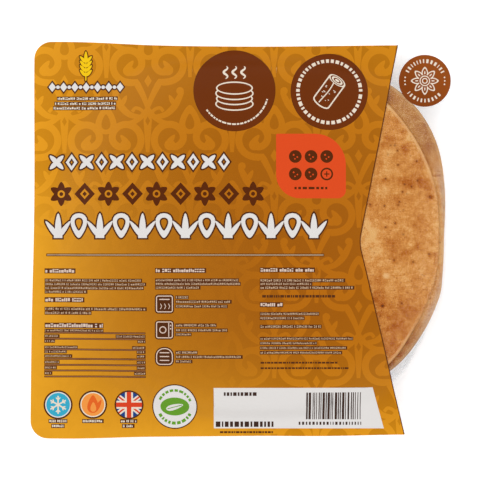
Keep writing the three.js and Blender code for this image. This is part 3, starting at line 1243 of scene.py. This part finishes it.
clearLook = {
    # the milk's grey also stands for painted shade beside the stack
    "milkAndShade": (204, 206, 210), "roughness": 0.12, "mirror": 0.006, "wrinkles": 0.35, "wrinkleHeight": 0.0006,
    # haze of each film where it lies close, how much more milk and painted shade where it stands off, and its
    # shine at a slant
    "upper": {"haze": 0.002, "hazeAndShade": 0.34, "glance": 0.5, "tint": (0.997, 0.997, 0.997)},
    "lower": {"haze": 0.012, "hazeAndShade": 0.0, "glance": 0.36, "tint": (0.99, 0.99, 0.992)},
}


def clearMaterial(name, haze, hazeAndShade, glance, tint):
    # film that lets light through, mirrors at a slant, and is milky where it stands off the bread, the milk
    # drawn grey as painted shade beside the stack
    material, nodes = newMaterial(name)
    place = nodes.places()
    through = nodes.add("ShaderNodeBsdfTransparent", Color=(*tint, 1.0))
    milkAndShade = nodes.add("ShaderNodeBsdfDiffuse", Color=linear(*clearLook["milkAndShade"]))
    amount = nodes.math("MULTIPLY_ADD", nodes.attribute("hazeAndShade"), hazeAndShade, haze)
    streaks = nodes.noise(place, 0.12, 3.0, 0.6)
    amount = nodes.math("MULTIPLY", amount, nodes.span(streaks, 0.3, 0.7, 0.8, 1.2))
    body = nodes.mixShader(amount, through, milkAndShade)
    height = nodes.math("ADD", nodes.noise(place, 0.35, 4.0, 0.6), nodes.noise(place, 0.06, 2.0, 0.5))
    bump = nodes.add("ShaderNodeBump", Strength=clearLook["wrinkles"], Distance=clearLook["wrinkleHeight"],
                     Height=height)
    gloss = nodes.add("ShaderNodeBsdfGlossy", Color=(1, 1, 1, 1), Roughness=clearLook["roughness"],
                      Normal=bump.outputs["Normal"])
    slant = nodes.add("ShaderNodeLayerWeight", Blend=0.5)
    share = nodes.math("POWER", slant.outputs["Facing"], 4.0)
    share = nodes.math("MULTIPLY_ADD", share, glance, clearLook["mirror"])
    nodes.add("ShaderNodeOutputMaterial", Surface=nodes.mixShader(share, body, gloss).outputs[0])
    return material


clearFilm = clearMaterial("clearFilm", **clearLook["upper"])
baseFilm = clearMaterial("formedFilm", **clearLook["lower"])

# how milky the upper film is drawn, between 0 and 1: haze where it stands off the stack, and painted shade in
# grey wedges beside it
hazeAndShadeShares = {
    "step": 0.07,       # over the step from the front bread to the second
    "beside": 0.3,      # at the right, where the second bread shows least
    # two wedges of painted shade beside the stack. Each begins and ends over a few degrees, and reaches out
    # so far, and so much farther over some degrees
    "shadeWedges": [
        {"strength": 0.72, "begins": (-66, -54), "ends": (-24, -32), "reach": 0.6, "more": 4.6,
         "over": (-28, -46), "outer": 1.4, "inner": -1.2},
        {"strength": 0.42, "begins": (72, 60), "ends": (30, 44), "reach": 0.6, "more": 2.6,
         "over": (36, 48), "outer": 3.0, "inner": -1.5},
    ],
}


def setAttribute(piece, name, values):
    attribute = piece.data.attributes.new(name, "FLOAT", "POINT")
    attribute.data.foreach_set("value", np.asarray(values, np.float32))


def hazeAndShadeAt(x, y):
    s = hazeAndShadeShares
    angle, radius = aboutPocket(x, y)
    front, second, wall = breadRadius(frontBread, angle), breadRadius(secondBread, angle), pocketRadius(angle)
    offFront, offSecond = smooth(radius, front - 0.5, front + 3.0), smooth(radius, second - 1.0, second + 1.0)
    turn, outside = np.degrees(angle), radius - second
    shadeWedges = 0
    for w in s["shadeWedges"]:
        reach = w["reach"] + w["more"] * smooth(turn, *w["over"])
        place = smooth(turn, *w["begins"]) * smooth(turn, *w["ends"])
        shadeWedges = shadeWedges + w["strength"] * (place * smooth(outside, reach + w["outer"], reach + w["inner"]))
    beside = smooth(np.abs(turn + 4), 28, 18) * smooth(radius, front + 0.5, front + 4) * (1 - offSecond)
    amount = s["step"] * offFront * (1 - offSecond) + offSecond * shadeWedges + s["beside"] * beside
    return np.clip(amount, 0, 1) * smooth(radius, wall + 6.0, wall + 1.0)


def makeClearFilm():
    loose = scatterInside("clear", lambda x, y: ~leftOfNotch(x, y, -scatter["notchMargin"]))
    flat, faces, _ = cutSheet(clearOutline, [], loose)
    piece = filmSheet("clear_film", flat, faces, ["film"] * len(faces), filmHeight, upperFilm["thickness"],
                      {"film": clearFilm}, replaces=("sealed_pack",), slot="clear_film")
    amount = hazeAndShadeAt(flat[:, 0], flat[:, 1])
    # haze, and painted shade in the wedges
    setAttribute(piece, "hazeAndShade", np.concatenate([amount, amount]))
    return piece


clearPiece = makeClearFilm()
print("clear film:", len(clearPiece.data.polygons), "faces")


# the lower film: flat under the stack, up the sides of the pocket and out to the weld
base = {
    "segments": 480, "thickness": 0.12, "floorInset": 8.5, "floorRings": 34, "weldRings": 14,
    # the wall from the floor up: how far inside the pocket's outline, and how high
    "wall": [(7.4, 0.12), (6.3, 0.42), (5.2, 0.95), (4.2, 1.75), (3.3, 2.8), (2.6, 4.0),
             (2.1, 5.6), (1.7, 7.2), (1.3, 8.8), (1.0, 10.4), (0.6, 11.7)],
    "shoulder": 0.25,        # the wall meets the rim this far under the weld
    "crinkle": 0.35, "pleats": (23, 37, 58, 91), "seed": 17,
}


def rimDistance(angles):
    # how far the pack's edge is from the pocket's middle
    outline = [(x - pocket["x"], y - pocket["y"]) for x, y in wholeOutline]
    turns = np.array([math.atan2(y, x) for x, y in outline])
    order = np.argsort(turns)
    turns = turns[order]
    reach = np.array([math.hypot(*outline[i]) for i in order])
    return np.interp(angles, turns, reach, period=tau)


def makeBaseFilm():
    b = base
    count = b["segments"]
    angles = np.linspace(0, tau, count, endpoint=False)
    wall, edge, flat = pocketRadius(angles), rimDistance(angles), np.zeros(count)
    weld = rim["height"] - upperFilm["thickness"] - b["thickness"]
    start = upperFilm["weldStart"]
    rings = [(share * (wall - b["floorInset"]), flat) for share in np.linspace(0.04, 1.0, b["floorRings"])]
    for inset, height in b["wall"] + [(0.0, weld - b["shoulder"]), (-start, weld)]:
        rings.append((wall - inset, flat + height))
    for share in np.linspace(0.08, 1.0, b["weldRings"]):
        rings.append((wall + start + share * (edge - wall - start), flat + weld))
    rng = np.random.default_rng(b["seed"])
    pleats = sum(rng.uniform(0.4, 1.0) * np.sin(n * angles + rng.uniform(0, tau)) for n in b["pleats"]) / 3
    points = [(pocket["x"], pocket["y"], 0.0)]
    for radius, height in rings:
        depth = np.clip(height / weld, 0, 1)
        sway = b["crinkle"] * pleats * np.sin(math.pi * depth) ** 0.8
        points += list(zip(*fromPocket(radius - np.abs(sway), angles), height))
    faces = [(0, 1 + (i + 1) % count, 1 + i) for i in range(count)]
    for ring in range(len(rings) - 1):
        inner, outer = 1 + ring * count, 1 + (ring + 1) * count
        faces += [(inner + i, inner + (i + 1) % count, outer + (i + 1) % count, outer + i)
                  for i in range(count)]
    piece = makeObject("formed_film", points, faces, [baseFilm], replaces=("sealed_pack",), slot="clear_film")
    solid = piece.modifiers.new("thickness", "SOLIDIFY")
    solid.thickness, solid.offset = b["thickness"] * mm, 0.0
    return piece


basePiece = makeBaseFilm()
print("formed film:", len(basePiece.data.polygons), "faces")


# the breads, from the floor of the pocket up; the last two are the ones that the window shows
breads = {
    "thickness": [3.42, 3.42, 3.40, 3.36, 3.0],
    "floor": 0.28,
    "gap": 0.04,
    "roundEdge": 1.5, "edgeSteps": 7,
    "segments": 620,
    # distances between the points of their faces, finest where they can be seen
    "hidden": 2.6, "lowestTop": 2.4, "underside": 0.95, "second": 0.8, "front": 0.5,
    "area": (-112, -102, 114, 104), "window": (54, -102, 118, 104),
    "shownRim": 88,          # the second bread is seen from here outwards
    # room left for the relief, and the most of it, on top and under the lowest bread
    "room": 0.12, "most": 0.28, "underShare": 0.4, "underMost": 0.3,
}
secondIndex, frontIndex = 3, 4
outlines = [
    {"x": -1.2, "y": 1.0, "radius": 97.4, "wallGap": 7.6, "squeeze": 3.0,
     "waves": [(3, 0.7, 0.4), (7, 0.25, 2.0)]},
    {"x": 2.6, "y": -2.4, "radius": 99.0, "wallGap": 4.6, "squeeze": 3.0,
     "waves": [(4, 0.6, 1.1), (9, 0.2, 0.3)]},
    {"x": -3.4, "y": -3.0, "radius": 100.2, "wallGap": 3.4, "squeeze": 2.5,
     "waves": [(3, 0.6, 2.7), (8, 0.25, 5.0)]},
    secondBread,
    frontBread,
]
# marks on the two breads that the window shows: x, y, half width, half length, strength
toastMarks = [
    (76.5, 66.9, 1.6, 1.4, 0.35), (85.8, 59.8, 3.2, 1.9, 0.4), (77.0, 55.4, 2.7, 2.0, 0.45),
    (85.3, 49.9, 2.6, 2.8, 0.55), (74.0, 51.0, 3.4, 2.0, 0.4), (78.1, 63.6, 5.0, 5.0, 0.2),
    (85.8, 32.3, 6.0, 2.4, 0.38), (95.8, 31.0, 4.6, 3.0, 0.32), (88.5, 30.2, 8.5, 3.4, 0.26),
    (99.2, 23.5, 1.6, 1.4, 0.6), (72.4, 32.7, 1.5, 0.9, 0.35), (95.2, 17.4, 2.0, 1.2, 0.4),
    (80.9, 22.4, 4.6, 2.8, 0.22), (92.4, 8.6, 3.0, 6.6, 0.28), (78.7, -4.0, 5.2, 5.4, 0.42),
    (88.0, -7.3, 4.6, 2.0, 0.45), (92.4, -4.0, 2.6, 2.0, 0.35), (72.6, -10.1, 2.0, 1.2, 0.35),
    (102.5, -8.4, 1.8, 1.4, 0.4), (102.3, -12.3, 1.4, 1.8, 0.5), (70.2, -27.6, 4.4, 9.5, 0.3),
    (70.2, -33.7, 3.0, 2.4, 0.4), (87.5, -40.2, 7.0, 5.0, 0.28), (79.5, -46.6, 1.6, 1.4, 0.5),
    (85.1, -49.1, 3.6, 3.8, 0.26), (78.7, -55.7, 3.4, 4.0, 0.24), (78.0, -56.0, 13.0, 24.0, 0.27),
]
paleMarks = [
    (77.6, 74.1, 3.0, 3.6, 0.4), (88.3, 57.3, 2.4, 2.4, 0.3), (92.4, 51.0, 2.6, 3.6, 0.3),
    (75.9, 47.4, 3.6, 3.4, 0.3), (77.0, 38.0, 5.4, 2.6, 0.3), (73.9, 26.2, 4.4, 3.4, 0.34),
    (99.0, 37.2, 2.6, 3.4, 0.3), (66.6, 4.2, 4.6, 6.2, 0.5), (70.4, -5.7, 3.6, 3.0, 0.42),
    (75.2, -19.8, 1.5, 1.2, 1.6), (96.0, -14.0, 3.0, 6.0, 0.2), (84.0, -20.0, 5.0, 3.5, 0.25),
]
# a small pale spot on the front bread
paleSpot = (75.2, -19.8, 1.4, 1.2, 1.0)
pits = [
    (81.7, 41.0), (81.4, 48.8), (92.0, 43.0), (85.3, 30.3), (89.1, 29.0), (74.8, 33.4), (82.4, 20.7),
    (74.3, 18.5), (66.4, 19.2), (74.8, 6.8), (80.1, 9.0), (79.5, -11.2), (89.9, -12.2), (98.7, -7.9),
    (104.5, -0.7), (72.9, -36.4), (73.4, -36.2), (83.6, -34.9), (92.4, 32.4), (84.2, 26.2), (99.3, 23.4),
]
lowerMarks = [     # the same for the second bread
    (92.1, 67.0, 2.0, 1.6, 0.4), (97.1, 63.6, 2.0, 2.2, 0.6), (102.9, 52.4, 1.2, 1.4, 0.5),
    (78.9, 77.4, 2.4, 2.4, 0.4), (98.3, 50.4, 3.0, 3.4, 0.25), (99.0, 43.6, 2.0, 2.0, 0.25),
    (103.0, 35.2, 2.6, 0.5, 1.1), (87.2, -56.8, 1.6, 2.4, 0.6), (82.9, -63.6, 2.4, 1.8, 0.6),
    (78.7, -69.1, 1.8, 2.4, 0.5), (98.2, -38.1, 2.4, 2.4, 0.3),
]


def spotSum(x, y, marks):
    total = np.zeros(np.shape(x))
    for cx, cy, rx, ry, strength in marks:
        total += strength * np.exp(-(((x - cx) / rx) ** 2 + ((y - cy) / ry) ** 2))
    return total


def level(index, x, y):
    # the surface between two breads, counted from the floor
    full = sum(breads["thickness"])
    below = sum(breads["thickness"][:index])
    return breads["floor"] + (crownHeight(x, y) - 0.1 - breads["floor"]) * below / full


# how toasted the breads are: strengths of the patches and marks, and the sizes of the patches
baking = {
    "even": 0.34, "patches": 0.14, "patchSize": 21, "mottle": 0.14, "mottleSize": 5.5,
    "wobble": 3.0, "wobbleSize": 9, "underPatches": 0.5, "underSize": 15,
    "toastMarks": 0.85, "paleMarks": 0.8, "wander": 1.1, "wanderSize": 3.5,
    "lowerMarks": 0.8, "lowerFoot": 0.12, "pitRing": 1.3, "pitRingDark": 0.3,
}
# the crust's relief, with the sizes of its lumps, and its small holes
relief = {
    "soft": 0.14, "softSize": 7, "grit": 0.05, "gritSize": 1.6, "puffs": 0.22, "puffSize": 11,
    "pit": 0.45, "pitDepth": 0.22,
    "strayPits": 150, "strayReach": 96, "straySize": (0.3, 0.6), "strayDark": (0.25, 0.8),
}


def browning(index, x, y, under=False):
    # how toasted a bread is at a place, from 0, pale, to 1
    b, seed = baking, 70 + 10 * index + (5 if under else 0)
    wobble = b["wobble"] * lumps(x, y, b["wobbleSize"], seed + 1)
    broad = lumps(x + wobble, y - wobble, b["patchSize"], seed + 2, 2)
    mottle = lumps(x, y, b["mottleSize"], seed + 3, 3)
    amount = b["even"] + b["patches"] * broad + b["mottle"] * mottle
    if under:
        amount = amount + b["underPatches"] * smooth(lumps(x, y, b["underSize"], seed + 4, 2), 0.15, 0.6)
    elif index == frontIndex:
        wander = b["wander"] * lumps(x, y, b["wanderSize"], 91, 2)
        amount = amount + b["toastMarks"] * spotSum(x + wander, y - wander, toastMarks)
        amount = amount - b["paleMarks"] * spotSum(x, y, paleMarks)
        rings = [(px, py, b["pitRing"], b["pitRing"], 1.0) for px, py in pits]
        amount = amount + b["pitRingDark"] * spotSum(x, y, rings)
    elif index == secondIndex:
        amount = amount + b["lowerFoot"] * smooth(y, -20, -60) + b["lowerMarks"] * spotSum(x, y, lowerMarks)
    return np.clip(amount, 0, 1)


def pitting(index, x, y, under=False):
    # small dark holes in the crust
    r, rng = relief, np.random.default_rng(500 + 7 * index + under)
    count = r["strayPits"]
    total = np.zeros(np.shape(x))
    places = [(px, py, r["pit"], 1.0) for px, py in pits] if index == frontIndex and not under else []
    angle, reach = rng.uniform(0, tau, count), r["strayReach"] * np.sqrt(rng.uniform(0, 1, count))
    sizes, darks = rng.uniform(*r["straySize"], count), rng.uniform(*r["strayDark"], count)
    for a, away, size, dark in zip(angle, reach, sizes, darks):
        places.append((*onCircle(pocket["x"], pocket["y"], away, a), size, dark))
    for px, py, size, dark in places:
        near = (np.abs(x - px) < 3) & (np.abs(y - py) < 3)
        if near.any():
            total[near] += dark * np.exp(-((x[near] - px) ** 2 + (y[near] - py) ** 2) / size ** 2)
    return np.clip(total, 0, 1)


def crustRelief(index, x, y, under=False):
    r, seed = relief, 170 + 10 * index + (5 if under else 0)
    soft = r["soft"] * lumps(x, y, r["softSize"], seed, 3)
    grit = r["grit"] * lumps(x, y, r["gritSize"], seed + 2, 2)
    puffs = r["puffs"] * smooth(lumps(x, y, r["puffSize"], seed + 3), 0.35, 0.85)
    return soft + grit + puffs - r["pitDepth"] * pitting(index, x, y, under)


def makeBread(index, breadMaterial):
    shape, d = outlines[index], breads
    isFront, isSecond, isLowest = index == frontIndex, index == secondIndex, index == 0
    count, steps, bend, windowLeft = d["segments"], d["edgeSteps"], d["roundEdge"], d["window"][0]
    angles = np.linspace(0, tau, count, endpoint=False)
    radius = breadRadius(shape, angles)

    def topAt(x, y):
        ground = level(index + 1, x, y) - d["gap"] - d["room"]
        if isFront:
            ground = ground - thinning(x, y)
        return ground + np.minimum(crustRelief(index, x, y), d["most"])

    def footAt(x, y):
        ground = level(index, x, y) + d["gap"]
        if isLowest:
            lumpy = np.minimum(crustRelief(index, x, y, True), d["underMost"])
            ground = ground + (d["room"] - d["underShare"] * lumpy)
        return ground

    def within(x, y, margin):
        angle, reach = aboutPocket(x, y)
        return reach < breadRadius(shape, angle) - bend - margin

    def shown(x, y):     # through the window
        return x > windowLeft if isFront else aboutPocket(x, y)[1] > d["shownRim"]

    # the edge: rings from the top round to the foot
    rings = []
    for k in range(2 * steps + 1):
        turn = math.pi * k / (2 * steps)
        away = bend * (1 - math.sin(turn))
        x, y = fromPocket(radius - away, angles)
        share = 0.5 + 0.5 * math.cos(turn)
        z = footAt(x, y) + (topAt(x, y) - footAt(x, y)) * share
        rings.append(np.column_stack([x, y, z]))
    points = np.vstack(rings)
    faces = []
    for ring in range(2 * steps):
        upper, lower = ring * count, (ring + 1) * count
        faces += [(upper + i, lower + i, lower + (i + 1) % count, upper + (i + 1) % count)
                  for i in range(count)]
    under = [False] * (count * steps) + [True] * (count * (steps + 1))

    # the two faces, fine only where they can be seen
    for isFoot in (False, True):
        ringPoints = rings[-1] if isFoot else rings[0]
        boundary = [tuple(p) for p in ringPoints[:, :2]]
        pitch = (d["underside"] if isFoot else d["lowestTop"]) if isLowest else d["hidden"]
        loose = hexPoints(*d["area"], pitch, 40 + index, lambda x, y: within(x, y, pitch * 0.6))
        if (isFront or isSecond) and not isFoot:
            fine = d["front"] if isFront else d["second"]
            loose = [p for p in loose if not (shown(*p) and p[0] > windowLeft)]
            loose += hexPoints(*d["window"], fine, 60 + index,
                               lambda x, y: within(x, y, fine * 0.6) & shown(x, y))
        flat, cut, _ = cutSheet(boundary, [], loose)
        start = len(points)
        z = footAt(flat[:, 0], flat[:, 1]) if isFoot else topAt(flat[:, 0], flat[:, 1])
        offset = 2 * steps * count if isFoot else 0
        lookup = {(round(x, 4), round(y, 4)): offset + i for i, (x, y) in enumerate(boundary)}
        extra, place = [], []
        for (x, y), height in zip(flat, z):
            known = lookup.get((round(x, 4), round(y, 4)))
            if known is None:
                known = start + len(extra)
                extra.append((x, y, height))
            place.append(known)
        points = np.vstack([points, np.array(extra)])
        under += [isFoot] * len(extra)
        faces += [tuple(place[v] for v in (reversed(face) if isFoot else face)) for face in cut]

    piece = makeObject(f"roti_{index + 1}", points, faces, [breadMaterial], replaces=("sealed_pack",),
                       slot="bread")
    x, y, under = points[:, 0], points[:, 1], np.array(under)
    brown = np.where(under, browning(index, x, y, True), browning(index, x, y))
    holes = np.where(under, pitting(index, x, y, True), pitting(index, x, y))
    angle, reach = aboutPocket(x, y)
    inside, turn = breadRadius(shape, angle) - reach, np.degrees(angle)
    # painted highlight: a paler line along each bread's edge, weaker at the right
    edgeHighlightAndSpot = smooth(inside, 2.2, 1.2) * smooth(inside, 0.1, 0.5)     # a paler edge, less so at the right
    edgeHighlightAndSpot = edgeHighlightAndSpot * (0.3 + 0.7 * smooth(np.abs(turn + 6), 16, 30))
    pale, paintedShade = 0 * x, 0 * x
    if isFront:
        # and a small pale spot on the front bread, in the highlight's colour
        edgeHighlightAndSpot = edgeHighlightAndSpot + 1.7 * spotSum(x, y, [paleSpot])
    # painted shade on the second bread under the front bread, lifted at its right, where its crust is drawn
    # paler
    if isSecond:     # duller under the front bread, and paler at its right
        pale = smooth(turn, -33, -20) * smooth(turn, 28, 15)
        paintedShade = 0.02 + (0.24 + 0.05 * smooth(turn, 0, -20)) * (1 - pale)
    setAttribute(piece, "brown", np.clip(brown - 0.26 * pale, 0, 1))
    setAttribute(piece, "holes", holes)
    # the rim attribute carries the painted edge highlight and the pale spot
    setAttribute(piece, "rim", edgeHighlightAndSpot)
    setAttribute(piece, "shadeUnderFront", paintedShade)
    setAttribute(piece, "freckled", smooth(y, 15, -45) * (1.0 if isFront else 0.3))
    return piece


# the colours, with a painted highlight's colour for the edges and a grey for painted shade
crustColours = {
    "pale": (232, 178, 110), "light": (219, 151, 77), "golden": (204, 132, 58), "toasted": (184, 103, 30),
    "charred": (166, 84, 12), "hole": (84, 30, 0), "paintedShade": (120, 128, 120), "rim": (236, 188, 130),
    "flour": (238, 210, 168),
}
crust = {
    "tones": [(0.0, "pale"), (0.26, "light"), (0.5, "golden"), (0.8, "toasted"), (1.0, "charred")],
    # how strongly each noise and each kind of mark shows, the painted edge highlight and the flour among them
    "medium": 1.15, "fine": 1.1, "streaks": 0.45, "crossStreaks": 0.4,
    "freckles": 0.55, "grains": 0.85, "edge": 0.55, "flour": 0.28,
    "freckleCells": 0.36, "grainCells": 0.62,     # cells to a millimetre
    "bump": 0.5, "bumpHeight": 0.0005, "shine": 0.12,
}


def makeCrust():
    # baked crust: golden with toasted patches, fine brown freckles, a painted highlight along the edge and
    # painted shade where it is asked for
    s, c = crust, {name: linear(*value) for name, value in crustColours.items()}
    material, nodes = newMaterial("crust")
    place = nodes.places()
    medium = nodes.noise(place, 0.3, 5.0, 0.62)
    fine = nodes.noise(place, 1.3, 3.0, 0.7)
    # streaks from rolling out, one way and the other
    drawn = nodes.add("ShaderNodeMapping", Vector=place, Scale=(0.14, 0.8, 1.0))
    crossed = nodes.add("ShaderNodeMapping", Vector=place, Scale=(0.8, 0.14, 1.0))
    streaks = nodes.noise(drawn.outputs[0], 1.0, 2.0, 0.6)
    crossStreaks = nodes.noise(crossed.outputs[0], 1.0, 2.0, 0.6)
    amount = nodes.attribute("brown")
    for pattern, share in ((medium, s["medium"]), (fine, s["fine"]), (streaks, s["streaks"]),
                           (crossStreaks, s["crossStreaks"])):
        amount = nodes.math("MULTIPLY_ADD", nodes.math("SUBTRACT", pattern, 0.5), share, amount)
    amount = nodes.math("ADD", amount, 0.0, clamp=True)
    colour = nodes.ramp(amount, [(at, c[name]) for at, name in s["tones"]])

    # freckles and finer grains: small brown dots, only in some of the cells
    freckled = nodes.attribute("freckled")
    cells = nodes.add("ShaderNodeTexVoronoi", Vector=place, Scale=s["freckleCells"])
    draw = nodes.add("ShaderNodeSeparateColor", Color=cells.outputs["Color"]).outputs[0]
    chosen = nodes.math("GREATER_THAN", draw, nodes.math("MULTIPLY_ADD", freckled, -0.4, 0.8))
    dots = nodes.math("MULTIPLY", nodes.span(cells.outputs["Distance"], 0.26, 0.10), chosen)
    colour = nodes.mix(nodes.math("MULTIPLY", dots, s["freckles"]), colour, c["charred"])
    cells = nodes.add("ShaderNodeTexVoronoi", Vector=place, Scale=s["grainCells"])
    draw = nodes.add("ShaderNodeSeparateColor", Color=cells.outputs["Color"]).outputs[1]
    dots = nodes.math("MULTIPLY", nodes.span(cells.outputs["Distance"], 0.4, 0.2), freckled)
    dots = nodes.math("MULTIPLY", dots, nodes.span(draw, 0.5, 0.95))
    colour = nodes.mix(nodes.math("MULTIPLY", dots, s["grains"]), colour, c["charred"])

    # painted highlight along the edges
    colour = nodes.mix(nodes.math("MULTIPLY", nodes.attribute("rim"), s["edge"]), colour, c["rim"])
    dust = nodes.span(nodes.noise(place, 1.1, 4.0, 0.7), 0.62, 0.74)
    colour = nodes.mix(nodes.math("MULTIPLY", dust, s["flour"]), colour, c["flour"])
    colour = nodes.mix(nodes.attribute("holes"), colour, c["hole"])
    # painted shade, multiplied in
    colour = nodes.mix(nodes.attribute("shadeUnderFront"), colour, c["paintedShade"], "MULTIPLY")
    height = nodes.math("ADD", nodes.math("MULTIPLY", medium, 0.6), nodes.math("MULTIPLY", fine, 0.25))
    bump = nodes.add("ShaderNodeBump", Strength=s["bump"], Distance=s["bumpHeight"], Height=height)
    shader = nodes.add("ShaderNodeBsdfPrincipled", Base_Color=colour, Normal=bump.outputs["Normal"],
                       Roughness=nodes.span(fine, 0.3, 0.7, 0.52, 0.7), Specular_IOR_Level=s["shine"])
    nodes.add("ShaderNodeOutputMaterial", Surface=shader.outputs[0])
    return material


crustMaterial = makeCrust()
for index in range(len(outlines)):
    bread = makeBread(index, crustMaterial)
    print("bread", index + 1, "made,", len(bread.data.polygons), "faces")


# the round badge: a brown disc with an eight-petalled flower between two arcs of dashes and some dots
badge = {
    "x": 96.9, "y": 87.5, "radius": 14.3, "raise": 0.05, "thickness": 0.03, "segments": 120,
    "petals": 8,
    # each petal from its edge inwards: ink, distance of its root, length, width and points
    "petal": [("cream", 2.3, 5.4, 4.6, 24), ("badge", 2.8, 4.0, 3.1, 24), ("cream", 3.6, 1.9, 0.9, 14)],
    "heart": 3.4, "rings": (2.9, 1.6), "line": 0.55,
    # each arc of dashes: height, first and last degree, seed, gap and length
    "arcs": [(2.1, 25, 155, 71, 1.15, 0.5), (2.0, 215, 325, 72, 1.25, 0.45)], "arcRadius": 10.9,
    "dots": (10, 0, 350, 170, 180, 190), "dotRadius": 11.0, "dot": 0.45,
    "spread": 15, "pitch": 1.0, "margin": 0.6, "seed": 8,
    # painted shade: the disc is drawn deeper to its lower left
    "colour": (154, 78, 26), "shadeToLowerLeft": ((136, 66, 20), 170.0, 197.0),
}


def makeBadge():
    b = badge
    x, y = b["x"], b["y"]
    boundary = disc(x, y, b["radius"], b["segments"])
    shapes = [("badge", boundary)]
    for k in range(b["petals"]):
        degrees = 360 / b["petals"] * k + 90
        for ink, root, length, width, points in b["petal"]:
            at = onCircle(x, y, root, math.radians(degrees))
            shapes.append((ink, leaf(*at, length, width, degrees, points)))
    shapes.append(("badge", disc(x, y, b["heart"], 36)))
    for radius in b["rings"]:
        shapes.append(("cream", disc(x, y, radius, 36)))
        shapes.append(("badge", disc(x, y, radius - b["line"], 36)))
    for arc in b["arcs"]:
        shapes += [("cream", dash) for dash in arcOfDashes(x, y, b["arcRadius"], *arc)]
    for degrees in b["dots"]:
        at = onCircle(x, y, b["dotRadius"], math.radians(degrees))
        shapes.append(("cream", disc(*at, b["dot"], 12)))
    spread = b["spread"]
    loose = hexPoints(x - spread, y - spread, x + spread, y + spread, b["pitch"], b["seed"],
                      lambda u, v: np.hypot(u - x, v - y) < b["radius"] - b["margin"])
    flat, faces, found = cutSheet(boundary, shapes, loose)
    looks = {"badge": inkMaterial("badgeInk", b["colour"], shadeToLowerLeft=b["shadeToLowerLeft"]), "cream": inks["cream"]}
    return filmSheet("badge_disc", flat, faces, found, lambda u, v: filmHeight(u, v) + b["raise"],
                     b["thickness"], looks, replaces=("round_badge",), slot="badge_print")


makeBadge()
print("badge made")


# floor, light and camera
studio = {
    "floorSize": 6.0, "floorShade": 0.9, "floorDrop": 0.0002,
    "floorGlow": 0.5,     # it's lit from below too, as a light table is
    # the room's soft light comes from a wide ring above, dim straight overhead and near the horizon
    "room": [(0.0, 0.38), (0.42, 0.44), (0.58, 1.28), (0.82, 1.28), (0.96, 0.28), (1.0, 0.24)],
    "lamps": [     # place, size and power of each soft light
        ((-0.6, 0.5, 1.25), 1.0, 4.0),
        ((0.8, -0.1, 1.25), 1.0, 3.0),
    ],
    "lens": 100.0, "sensor": 36.0, "viewWidth": 264.0, "viewX": -4.95, "viewY": -0.2, "printHeight": 14.5,
}


def makeStudio():
    s = studio
    half = s["floorSize"] / 2
    mesh = bpy.data.meshes.new("floor")
    corners = [(x, y, 0) for x, y in block(-half, -half, half, half)]
    mesh.from_pydata(corners, [], [(0, 1, 2, 3)])
    floor = bpy.data.objects.new("floor", mesh)
    floor.location.z = -s["floorDrop"]
    bpy.context.scene.collection.objects.link(floor)
    material, nodes = newMaterial("paleFloor")
    shade = s["floorShade"]
    shader = nodes.add("ShaderNodeBsdfPrincipled", Base_Color=(shade, shade, shade, 1.0), Roughness=0.8,
                       Specular_IOR_Level=0.1, Emission_Color=(1, 1, 1, 1), Emission_Strength=s["floorGlow"])
    nodes.add("ShaderNodeOutputMaterial", Surface=shader.outputs[0])
    mesh.materials.append(material)

    world = bpy.data.worlds.new("studio")
    world.use_nodes = True
    room = Nodes(world.node_tree)
    split = room.add("ShaderNodeSeparateXYZ", Vector=room.add("ShaderNodeTexCoord").outputs["Generated"])
    glow = room.ramp(split.outputs["Z"], [(height, (level, level, level, 1)) for height, level in s["room"]])
    room.feed(world.node_tree.nodes["Background"].inputs["Color"], glow)
    bpy.context.scene.world = world

    for k, (place, size, power) in enumerate(s["lamps"]):
        lamp = bpy.data.lights.new(f"soft_light_{k + 1}", "AREA")
        lamp.energy, lamp.size = power, size
        holder = bpy.data.objects.new(lamp.name, lamp)
        holder.location = place
        holder.rotation_euler = (-Vector(place)).to_track_quat("-Z", "Y").to_euler()
        bpy.context.scene.collection.objects.link(holder)

    camera = bpy.data.cameras.new("camera")
    camera.lens, camera.sensor_width = s["lens"], s["sensor"]
    camera.clip_start, camera.clip_end = 0.05, 20.0
    holder = bpy.data.objects.new("camera", camera)
    away = s["viewWidth"] * mm * s["lens"] / s["sensor"]
    holder.location = (s["viewX"] * mm, s["viewY"] * mm, s["printHeight"] * mm + away)
    bpy.context.scene.collection.objects.link(holder)
    bpy.context.scene.camera = holder
    bpy.context.scene.view_settings.view_transform = "Standard"


makeStudio()
print("studio ready")
